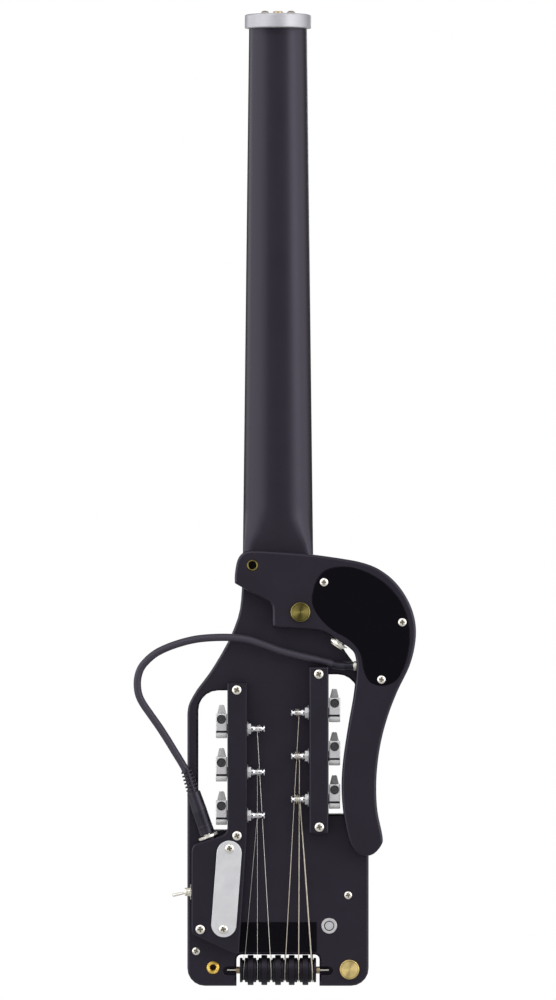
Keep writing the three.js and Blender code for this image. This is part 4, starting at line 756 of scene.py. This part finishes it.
def plain_spline(points, steps):
    """A uniform Catmull-Rom line through points, which ends where they end."""
    found = []
    last = len(points) - 1
    for i in range(last):
        p0, p1, p2, p3 = (points[max(i - 1, 0)], points[i], points[i + 1], points[min(i + 2, last)])
        v0, v1 = (p2 - p0) / 2, (p3 - p1) / 2
        for step in range(steps):
            t = step / steps
            found.append((2 * p1 - 2 * p2 + v0 + v1) * t ** 3 + (3 * p2 - 3 * p1 - 2 * v0 - v1) * t ** 2
                         + v0 * t + p1)
    return found + [points[-1]]


def inset(points, by):
    """A closed line in x and z moved inwards, for one that runs clockwise as seen from the back."""
    moved = []
    for i, here in enumerate(points):
        way = (points[(i + 1) % len(points)] - points[i - 1]).normalized()
        moved.append(here + Vector((way.z, 0, -way.x)) * by)
    return moved


arm_line = plain_spline([on_arm(s, ARM_BACK) for s in ARM_EDGE], 4)
arm_line += [on_arm(s, ARM_BACK) for s in ARM_HOLLOW]
lap_arm = prism("lap_arm", arm_line, (0, ARM_FRONT - ARM_BACK, 0))
eased(lap_arm, 4.6, 7, 60)
cover_line = catmull([on_arm(s, ARM_BACK - 3) for s in COVER_EDGE + COVER_EDGE[:1]], 4)[:-1]
carved(lap_arm, prism("cover_recess", cover_line, (0, 4.8, 0)))
for radius, low, *where in (
    (2.95, -30, CLAMP), (4.3, -30, RING),
    (4.95, -14.3, OUTPUT_SEAT, OUTPUT_WAY), (9.1, -0.3, OUTPUT_SEAT, OUTPUT_WAY),
    (3.05, -12.3, MINI_SEAT, MINI_WAY), (4.6, -0.3, MINI_SEAT, MINI_WAY),
    (3.35, -8.7, KNOBS[0]), (3.35, -8.7, KNOBS[1]),
):
    carved(lap_arm, cylinder(radius, low, 3, *where))
eased(lap_arm, 0.25, 2, 55)
finish(lap_arm, lacquer, "arm", "satin_body", "lap_rest_arm", smooth=35)

cover = prism("cavity_cover", [p + Vector((0, 2.5, 0)) for p in inset(cover_line, 0.3)], (0, 2.0, 0))
eased(cover, 0.35, 3, 60)
for x, z in COVER_SCREWS:
    carved(cover, cylinder(1.7, -3, 5, (x, COVER_BACK, z), steps=32))
finish(cover, acrylic, "arm", "gloss_plastic", "arm_cover", smooth=35)

# Screws

SCREW_ACROSS = 6.2


def screw_master():
    """A cross-recessed pan screw with its seat at z = 0 and its recess marked for painted shade."""
    head = turned("pan_screw", [
        (-4, 0), (-4, 1.5), (0.0, 1.5), (0.0, 2.95), (0.2, 3.1), (0.75, 3.1), (1.1, 2.95), (1.4, 2.6),
        (1.6, 1.9), (1.68, 1.0), (1.7, 0)], steps=48)
    for turn in (0, math.pi / 2):
        wing = prism("wing", [(-2.15, -0.5, 2.3), (2.15, -0.5, 2.3), (1.1, -0.5, 0.35), (-1.1, -0.5, 0.35)],
                     (0, 1.0, 0))
        carved(head, placed(wing, turn=turn))
    carved(head, turned("pit", [(0.3, 0), (2.3, 1.0), (2.3, 0)], steps=24))
    eased(head, 0.06, 2, 40)
    recess = head.data.attributes.new("recess", "FLOAT", "FACE")
    for face in head.data.polygons:
        x, y, z = face.center
        recess.data[face.index].value = float(math.hypot(x, y) < 2.25 and 0 < z < 1.46)
    return head


screw = screw_master()


def screwed(kind, places, y, across, body):
    """Copies of the screw on a face that looks back, each turned as it happened to stop."""
    for i, (x, z) in enumerate(places):
        piece = twin(screw, f"{kind}_screw_{i + 1}")
        placed(piece, turn=draw.uniform(0, math.pi), scale=(across / SCREW_ACROSS,) * 3)
        placed(piece, (x, y, z), BACK)
        finish(piece, screw_nickel, body, "nickel", smooth=35)


screwed("rail", RAIL_SCREWS, -20, 7.0, "guitar")
screwed("back", BACK_SCREWS, 0, 5.9, "guitar")
screwed("cover", COVER_SCREWS, COVER_BACK, 6.2, "arm")

# Plate, felt, insert, thumbscrews and bridge bolt

PLATE_LEAN = 4.3
INSERT, BOLT = (-47.4, 0, 13.3), (37.3, 0, 43.9)
plate_way, plate_side = leaning(PLATE_LEAN), leaning(PLATE_LEAN + 90)
plate_middle = Vector((-37.4, -20.3, 71.8))
plate_line = [plate_middle + plate_side * a + plate_way * b
              for a, b in arc(0, 26.05, 9.1, 0, 180, 24) + arc(0, -26.05, 9.1, 180, 360, 24)]
plate = eased(prism("bare_plate", plate_line, (0, -1.6, 0)), 0.35, 3, 50)
finish(plate, brushed_plate, "guitar", "aluminium", "blank_plate")
screwed("plate", ((-35.2, 101.2), (-39.7, 42.5)), -21.9, 6.6, "guitar")

felt = eased(refined("felt_strip", "felt_pad"), 0.25, 3, 50)
finish(felt, felt_cloth, "guitar", "felt", "felt_strip", smooth=60)

lathed("insert_sleeve", [
    (-0.3, 2.75), (-0.3, 4.05), (-0.1, 4.3), (0.2, 4.3), (0.2, 4.55), (11.6, 4.55), (11.6, 2.35), (0.3, 2.35),
    (-0.3, 2.75)], INSERT, FRONT, (brass("bright_brass_insert", "e2b544", "ffe07e", INSERT, (0.36, 0.42)),
                                   "guitar", "brass"), "brass_insert", steps=96)


def knurled(name, radius, teeth, low, high, depth):
    """A cylinder along +Z with straight knurling round its rim."""
    outline = []
    for i in range(teeth * 2):
        reach = radius - (depth if i % 2 else 0)
        turn = math.pi * i / teeth
        outline.append((reach * math.cos(turn), reach * math.sin(turn), low))
    return eased(prism(name, outline, (0, 0, high - low)), 0.18, 2, 60)


def thumbscrew(name, place, face, material, node):
    """A turned head with a knurled rim and a shallow ring near its edge, on a face that looks back."""
    head = knurled(name, 7.12, 64, 0.25, 3.75, 0.12)
    cap = turned(name + "_cap", [
        (3.6, 0), (3.6, 6.9), (3.85, 6.95), (4.25, 6.85), (4.45, 6.7), (4.45, 6.4), (4.0, 6.25), (4.0, 6.1),
        (4.4, 5.95), (4.4, 0)], steps=96)
    stem = turned(name + "_stem", [
        (-11 + face, 0), (-11 + face, 2.2), (-10.6 + face, 2.6), (0, 2.6), (0, 6.9), (0.3, 6.9), (0.3, 0)],
        steps=48)
    joined(head, cap, stem)
    placed(head, (place[0], face - 0.3, place[2]), BACK)
    finish(head, material, node, "brass", node, smooth=30)


# Both thumbscrews' brass carries a painted fan of highlight and shade, painted shade in the groove and a
# brighter rim; the olive one's are the strongest.
PARKED = (52.1, 0, 12.1)
thumbscrew("slab_thumbscrew", PARKED, 0, brass("faced_brass", "cfb878", "e0cb8e", PARKED, (0.44, 0.48)),
           "body_thumbscrew")
olive_brass = brass("aged_olive_brass", "6d6438", "8a7f48", CLAMP, (0.48, 0.52), fan=0.5, groove=0.45,
                    rim=1.6)
thumbscrew("clamp_thumbscrew", CLAMP, ARM_BACK, olive_brass, "arm_thumbscrew")

lathed("ring_sleeve", [
    (-20, 3.3), (-20, 3.75), (-19.8, 3.95), (-0.3, 3.95), (-0.3, 3.0), (-19.7, 3.0), (-20, 3.3)], RING, FRONT,
    (brass("dull_brass_sleeve", "6a5f34", "8c7f48", RING, (0.35, 0.45)), "arm", "brass"), "arm_bushing")

lathed("bolt_washer", [(0.3, 3.7), (0.3, 5.5), (0.5, 5.7), (1.1, 5.7), (1.3, 5.5), (1.3, 3.7), (0.3, 3.7)],
       BOLT, BACK, (satin_chrome, "guitar", "nickel"))
lathed("bolt_seal", [(0.1, 2.45), (0.1, 3.68), (0.45, 3.68), (0.45, 2.45), (0.1, 2.45)], BOLT, BACK,
       (acetal, "guitar", "nickel"))
lathed("bolt_head", [
    (-20.2, 0), (-20.2, 2.4), (0.5, 2.4), (0.5, 3.0), (1.7, 3.05), (1.95, 2.8), (1.95, 2.45), (1.8, 2.3),
    (1.8, 0)], BOLT, BACK, (zinc, "guitar", "nickel"), "bridge_bolt")

# Toggle switch

TOGGLE = Vector((-62.8, -10, 69.1))
lathed("toggle_bushing", [
    (-8, 0), (-8, 3.1), (0.3, 3.1), *thread(1.5, 4.6, 2.85, 3.1, 0.5), (5.1, 2.75), (5.1, 2.4), (4.9, 2.25),
    (0.15, 2.25), (0.15, 0)], TOGGLE, LEFT, (satin_nickel, "guitar", "nickel"), "toggle_switch")
finish(nut("toggle_nut", 5.8, 3.12, 0.3, 1.2, TOGGLE, LEFT), satin_nickel, "guitar", "nickel")
lathed("toggle_bat", [
    (-1.85, 0), (-1.71, 0.7), (-1.31, 1.31), (-0.7, 1.71), (0, 1.85), (0.7, 1.71), (1.31, 1.31), (1.69, 0.75),
    (10.2, 1.15), (11.3, 1.25), (12.0, 1.05), (12.4, 0.55), (12.5, 0)], (-64.7, -10, 69.1), leaning(-102),
    (satin_nickel, "toggle_lever", "nickel"), "toggle_lever")

# Tuners: modelled once for the left side, in their own millimetres, with the post along +X

GEAR_X = -4.35
WORM_Z = 7.1
POST_OUT, POST_DEPTH = 36.8, -10


def post_height(side, row):
    """How high a tuner's post stands, by its side and its row from the lowest."""
    return 124.8 + 31.5 * row + (11.7 if side > 0 else 0)


def arch(radius, top, x, steps=32):
    """A housing's outline in y and z: round below the post, straight above it."""
    return [(x, y, z) for y, z in arc(0, 0, radius, 180, 360, steps)] + [(x, radius, top), (x, -radius, top)]


def rooms():
    """What the gear, the worm, its shaft and the post need inside the housing."""
    return [cylinder(6.15, GEAR_X - 1.9, GEAR_X + 1.9, (0, 0, 0), RIGHT),
            cylinder(3.35, -9.9, 4.9, (GEAR_X, 0, WORM_Z)),
            cylinder(1.95, 0, 10, (GEAR_X, 0, WORM_Z)),
            cylinder(2.85, GEAR_X, 3, (0, 0, 0), RIGHT)]


def housing_masters():
    """The housing's face and lower end, with a groove between them that shows a core."""
    whole = prism("shell", arch(6.9, 10.9, -8.4), (8.1, 0, 0))
    eased(whole, 0.5, 4, 60)
    carved(whole, *rooms())
    face = sliced(twin(whole, "face"), (0, 0, -1.2), (0, 0, -1))
    end = sliced(whole, (0, 0, -2.4), UP)
    core = block("core", (-8.2, -6.7, -2.7), (-0.5, 6.7, -0.9))
    carved(core, *rooms())
    return eased(face, 0.1, 2, 60), eased(end, 0.1, 2, 60), core


def bushing_master():
    """The post's hexagonal bushing on its threaded sleeve."""
    hexed = nut("hex", 4.3, 2.85, 15.1, 17.2, (0, 0, 0), RIGHT, math.pi / 6)
    sleeve = turned("sleeve", [
        (-1.1, 2.85), (-1.1, 3.7), (14.42, 3.7), (14.42, 5.35), (14.5, 5.45), (14.95, 5.45), (15.05, 5.35),
        (15.15, 4.0), (15.15, 2.85), (-1.1, 2.85)], along=RIGHT, steps=48)
    return joined(hexed, sleeve)


def local_copy(node, name):
    """A left tuner's CAD piece in the tuner's own millimetres."""
    return placed(refined(node, name), (POST_OUT, -POST_DEPTH, -post_height(-1, 0)))


def worm_master():
    """The CAD worm's thread on a turned shaft."""
    worm = local_copy("tuner_button_left_1", "worm")
    sliced(worm, (0, -4.25, 0), BACK)
    sliced(worm, (0, 3.75, 0), FRONT)
    shaft = turned("shaft", [
        (3.7, 0), (3.7, 2.35), (3.85, 2.5), (4.45, 2.5), (4.6, 2.35), (4.6, 1.6), (11.6, 1.6), (11.6, 0)],
        (GEAR_X, 0, WORM_Z), FRONT, 48)
    return joined(worm, shaft)


def plug_master():
    """The plug at the worm's far end."""
    return turned("journal", [
        (-6.6, 0), (-6.6, 0.75), (-6.45, 0.9), (-6.45, 2.2), (-6.6, 2.35), (-6.6, 2.8), (-6.4, 3.05),
        (-4.3, 3.05), (-4.3, 0)], (GEAR_X, 0, WORM_Z), FRONT)


def button_master():
    """A flat button, thickest in the middle, on its neck."""
    half = [(1.45, 9.7), (1.85, 9.2), (3.15, 3.8), (3.15, -3.8), (1.85, -9.2), (1.45, -9.7)]
    outline = [(x, 11.2, z) for x, z in half] + [(-x, 11.2, z) for x, z in reversed(half)]
    blade = eased(prism("blade", outline, (0, 10.5, 0)), 0.9, 4, 25)
    stalk = turned("neck", [(10.6, 0), (10.6, 2.2), (10.9, 2.6), (11.7, 3.0), (11.7, 0)], along=FRONT,
                   steps=48)
    return placed(joined(blade, stalk), (GEAR_X, 0, WORM_Z))


def post_master():
    """The CAD gear on a waisted spool, slotted across and bored at its end."""
    gear = local_copy("string_post_left_1", "gear")
    sliced(gear, (GEAR_X - 1.62, 0, 0), LEFT)
    sliced(gear, (GEAR_X + 1.62, 0, 0), RIGHT)
    spool = turned("spool", [
        (GEAR_X + 1.5, 0), (GEAR_X + 1.5, 2.5), (17.55, 2.5), (17.72, 2.7), (17.85, 2.88), (18.7, 2.9),
        (19.0, 2.72), (19.7, 2.3), (20.4, 2.1), (24.7, 2.1), (25.4, 2.3), (26.1, 2.72), (26.4, 2.9),
        (27.1, 2.88), (27.4, 2.6), (27.4, 0)], along=RIGHT)
    carved(spool, cylinder(0.5, -4, 4, (25.0, 0, 0), UP, 20), cylinder(1.2, 0, 4, (26.5, 0, 0), RIGHT, 24))
    carved(spool, *[cylinder(0.55, -4, 4, (x, 0, 0), steps=20) for x in (18.15, 23.25)])
    return joined(gear, spool)


plug = plug_master()
face, end, core = housing_masters()
TUNER_PARTS = (
    ("face", face, satin_chrome, "guitar", "chrome", "tuner_housing"),
    ("end", end, end_painted_reflection, "guitar", "chrome", None),
    ("core", core, acetal, "guitar", "chrome", None),
    ("bushing", bushing_master(), zinc, "guitar", "chrome", None),
    ("worm", worm_master(), wire, "worm", "tuner_grey", None),
    ("plug", plug, gunmetal, "worm", "tuner_grey", None),
    ("button", button_master(), button_painted_light, "worm", "tuner_grey", "tuner_button"),
    ("post", post_master(), chrome, "post", "chrome", "string_post"),
)
for side, label in ((-1, "left"), (1, "right")):
    for row in range(3):
        seat = Matrix.Translation((POST_OUT * side, POST_DEPTH, post_height(side, row)))
        seat = seat @ Matrix.Diagonal((-side, 1, 1, 1))
        which = f"{label}_{row + 1}"
        for kind, master, material, body, slot, node in TUNER_PARTS:
            rides = body if body == "guitar" else f"{body}_{which}"
            finish(twin(master, f"{kind}_of_{which}", seat), material, rides, slot,
                   *([f"{node}_{which}"] if node else []), smooth=35)

# Strings

STRING_RADII = [0.114, 0.14, 0.203, 0.305, 0.406, 0.533]
NUT_PITCH, TAIL_PITCH = 7, 10
TAIL_Y, TAIL_Z = 6.7, 11.2
SADDLE_Y, SADDLE_Z = 28, 66.35
GROOVE_RADIUS, SPOOL_RADIUS = 7.7, 2.4
SPOOL_OUT = 22.55
WIND_GAP = 0.45
WINDINGS = 2.3
ROLLER_STEPS, WIND_STEPS = 32, 28
BALL_DEPTH = 24.4


def string_line(i):
    """Over the nut and the saddle, round the roller in the tail and up onto the post."""
    radius = STRING_RADII[i]
    side, row = (-1, i) if i < 3 else (1, 5 - i)
    nut_x, roll_x = (i - 2.5) * NUT_PITCH, (i - 2.5) * TAIL_PITCH
    around, wrap = GROOVE_RADIUS + radius, SPOOL_RADIUS + radius
    over, up = SADDLE_Y - TAIL_Y, SADDLE_Z - TAIL_Z
    first = math.atan2(up, over) - math.acos(around / math.hypot(over, up))
    post_z = post_height(side, row)
    back, rise = POST_DEPTH - TAIL_Y, post_z - TAIL_Z
    leave = math.atan2(rise, back) + math.acos((around + wrap) / math.hypot(back, rise))
    last = leave - 2 * math.pi
    points = [(nut_x, BALL_DEPTH, 703.7), (nut_x, 24.6, 701.5), (nut_x, 25.6, 698.7), (nut_x, 25.6, 695),
              (roll_x, SADDLE_Y, SADDLE_Z)]
    for k in range(ROLLER_STEPS + 1):
        turn = first + (last - first) * k / ROLLER_STEPS
        points.append((roll_x, TAIL_Y + around * math.cos(turn), TAIL_Z + around * math.sin(turn)))
    pitch = 2 * radius + WIND_GAP
    start_x = side * (POST_OUT - SPOOL_OUT + pitch * 1.15)
    for k in range(round(WINDINGS * WIND_STEPS) + 1):
        turn = leave - math.pi + 2 * math.pi * k / WIND_STEPS
        points.append((start_x - side * pitch * k / WIND_STEPS, POST_DEPTH + wrap * math.cos(turn),
                       post_z + wrap * math.sin(turn)))
    return points


for i, radius in enumerate(STRING_RADII):
    strand = tube(f"strand_{i + 1}", string_line(i), radius, 3)
    finish(strand, wire if i < 3 else wound, "guitar", "steel", f"string_{i + 1}", smooth=60)
    lathed(f"ball_end_{i + 1}", [
        (703.75, 0.5), (703.75, 1.5), (704.2, 1.9), (706.3, 1.9), (706.8, 1.5), (706.8, 0.5), (703.75, 0.5)],
        ((i - 2.5) * NUT_PITCH, BALL_DEPTH, 0), UP, (ball_brass, "guitar", "brass"), steps=32)

# Rollers on their axle


def on_axle(x):
    """A place on the rollers' axle."""
    return Vector((x, TAIL_Y, TAIL_Z))


axle = cylinder(1.6, -37.3, 37.3, on_axle(0), RIGHT)
axle.name = "tail_axle"
finish(eased(axle, 0.3, 2, 60), nickel, "guitar", "chrome")
GUARD = [(-2.16, 1.7), (-2.16, 10.5), (-1.95, 10.9), (-1.5, 11.0), (1.5, 11.0), (1.95, 10.9), (2.16, 10.5),
         (2.16, 1.7), (-2.16, 1.7)]
for i in range(5):
    lathed(f"guard_{i + 1}", GUARD, on_axle((i - 2) * TAIL_PITCH), RIGHT,
           (acetal, "guitar", "roller_plastic"), *(["roller_axle"] if i == 0 else []), steps=96, smooth=35)
RIM = [(2.83, 1.95), (2.83, 8.8), (2.72, 8.92), (1.1, 8.95), (0.95, 8.8), (0.7, 7.6), (0.45, 7.38)]
for i in range(6):
    roller = f"string_roller_{i + 1}"
    lathed(f"grooved_wheel_{i + 1}", [(-x, r) for x, r in RIM] + RIM[::-1] + [(-2.83, 1.95)],
           on_axle((i - 2.5) * TAIL_PITCH), RIGHT, (acetal, roller, "roller_plastic"), roller,
           steps=96, smooth=35)
for label, x in (("left", -29.3), ("right", 29.3)):
    lathed(f"axle_collar_{label}", [
        (-1.4, 1.62), (-1.4, 2.45), (-1.25, 2.6), (1.25, 2.6), (1.4, 2.45), (1.4, 1.62), (-1.4, 1.62)],
        on_axle(x), RIGHT, (bronze, "guitar", "brass"), steps=48)

# Head cap and truss rod

AXIS = (0, AXIS_DEPTH, 0)
cap = turned("turned_cap", [
    (699.0, 0), (699.0, 24.1), (699.12, 24.25), (707.5, 24.25), (708.2, 24.1), (708.6, 23.75), (708.8, 23.2),
    (708.8, 0)], AXIS, steps=160)
carved(cap, cylinder(2.8, 690, 712, AXIS, UP))
for i in range(6):
    x = (i - 2.5) * NUT_PITCH
    carved(cap, block("slot", (x - 0.8, 23.6, 698), (x + 0.8, 26.4, 704)),
           cylinder(2.2, 703.5, 712, (x, BALL_DEPTH, 0), UP))
finish(cap, aluminium, "guitar", "aluminium", "head_cap", smooth=30)
for i, x in enumerate((-9.5, 9.6)):
    lathed(f"cap_screw_{i + 1}", [
        (-3, 0), (-3, 1.5), (0, 1.5), (0, 2.9), (0.3, 3.05), (1.3, 3.0), (2.1, 2.6), (2.7, 1.9), (2.95, 1.3),
        (2.95, 1.05), (1.6, 1.0), (1.6, 0)], (x, AXIS_DEPTH, 708.8), UP, (aged_nickel, "guitar", "nickel"),
        steps=48, smooth=35)
rod = turned("truss_nut", [
    (262, 0), (262, 2.5), (709.1, 2.5), (709.1, 3.2), (709.3, 3.5), (711.1, 3.5), (711.4, 3.2), (711.4, 1.3),
    (709.8, 1.25), (709.8, 0)], AXIS)
carved(rod, block("slit", (-4, AXIS_DEPTH - 0.45, 710.6), (4, AXIS_DEPTH + 0.45, 713)))
finish(rod, bronze, "truss_rod", "brass", "truss_rod", smooth=35)

# Front: fretboard, nut, bridge, saddle, pickup and knobs

HEEL, HEEL_WIDTH, NUT_WIDTH = 314.6, 51.4, 42.4
NUT_FOOT, SCALE = 695.0, 628.65
FRETS = 22
BOARD_TOP = 694.7


def neck_half(z):
    """Half the neck's width at a height."""
    return (HEEL_WIDTH + (NUT_WIDTH - HEEL_WIDTH) * (z - HEEL) / (NECK_TOP - HEEL)) / 2


def fret_z(i):
    """A fret's height, by the scale's twelfth root of two."""
    return NUT_FOOT - SCALE * (1 - 2 ** (-i / 12))


foot = fret_z(FRETS) - 5.8
corners = [(side * neck_half(z), 18.3, z)
           for side, z in ((-1, foot), (1, foot), (1, BOARD_TOP), (-1, BOARD_TOP))]
board = eased(prism("ebony_board", corners, (0, 5.2, 0)), 0.4, 3, 50)
finish(board, ebony, "guitar", "dark_wood", "fretboard")
CROWN = [(-1.1, -0.6), (-1.1, 0.05), (-0.85, 0.5), (-0.45, 0.92), (0, 1.08), (0.45, 0.92), (0.85, 0.5),
         (1.1, 0.05), (1.1, -0.6)]
for i in range(1, FRETS + 1):
    half, z = neck_half(fret_z(i)) - 0.6, fret_z(i)
    fret = prism(f"fret_{i}", [(-half, 23.5 + h, z + w) for w, h in CROWN], (2 * half, 0, 0))
    finish(eased(fret, 0.12, 2, 60), fret_wire, "guitar", "steel")
for i in (3, 5, 7, 9, 12, 15, 17, 19, 21):
    middle = (fret_z(i) + fret_z(i - 1)) / 2
    for k, x in enumerate((-9, 9) if i == 12 else (0,)):
        lathed(f"dot_{i}_{k}", [(23.3, 0), (23.3, 2.6), (23.52, 2.6), (23.56, 2.5), (23.56, 0)],
               (x, 0, middle), FRONT, (pearl, "guitar", "bone"), steps=32)

for node, name, width, angle, material, slot in (
    ("nut", "bone_nut", 0.35, 50, bone, "bone"), ("bridge", "ebony_bridge", 0.2, 50, ebony, "dark_wood"),
    ("saddle", "bone_saddle", 0.3, 25, bone, "bone"),
    ("pickup", "pickup_cover", 0.6, 50, acetal, "gloss_plastic"),
):
    finish(eased(refined(node, name), width, 3, angle), material, "guitar", slot, node, smooth=40)


def control_knob(name, place, node):
    """A knurled knob with a domed top, a skirt and a pointer dot."""
    grip = knurled(name, 7.7, 44, 3.9, 12.4, 0.25)
    skirt = turned(name + "_skirt", [
        (-8.4, 0), (-8.4, 3.0), (0.9, 3.0), (0.9, 8.8), (1.1, 9.0), (2.6, 9.0), (3.5, 8.6), (3.95, 7.9),
        (3.95, 0)], steps=72)
    top = turned(name + "_top", [
        (12.2, 0), (12.2, 7.3), (12.5, 7.3), (12.85, 6.8), (12.9, 6.0), (12.7, 3), (12.65, 0)], steps=72)
    joined(grip, skirt, top)
    finish(placed(grip, place, FRONT), acetal, node, "gloss_plastic", node, smooth=30)
    lathed(name + "_dot", [(12.7, 0), (12.7, 0.55), (12.95, 0.5), (12.95, 0)], place + Vector((0, 0, 5.2)),
           FRONT, (pearl, node, "bone"), steps=24)


control_knob("volume_grip", KNOBS[0], "volume_knob")
control_knob("tone_grip", KNOBS[1], "tone_knob")

for master in (screw, *(part[1] for part in TUNER_PARTS)):
    bpy.data.objects.remove(master)
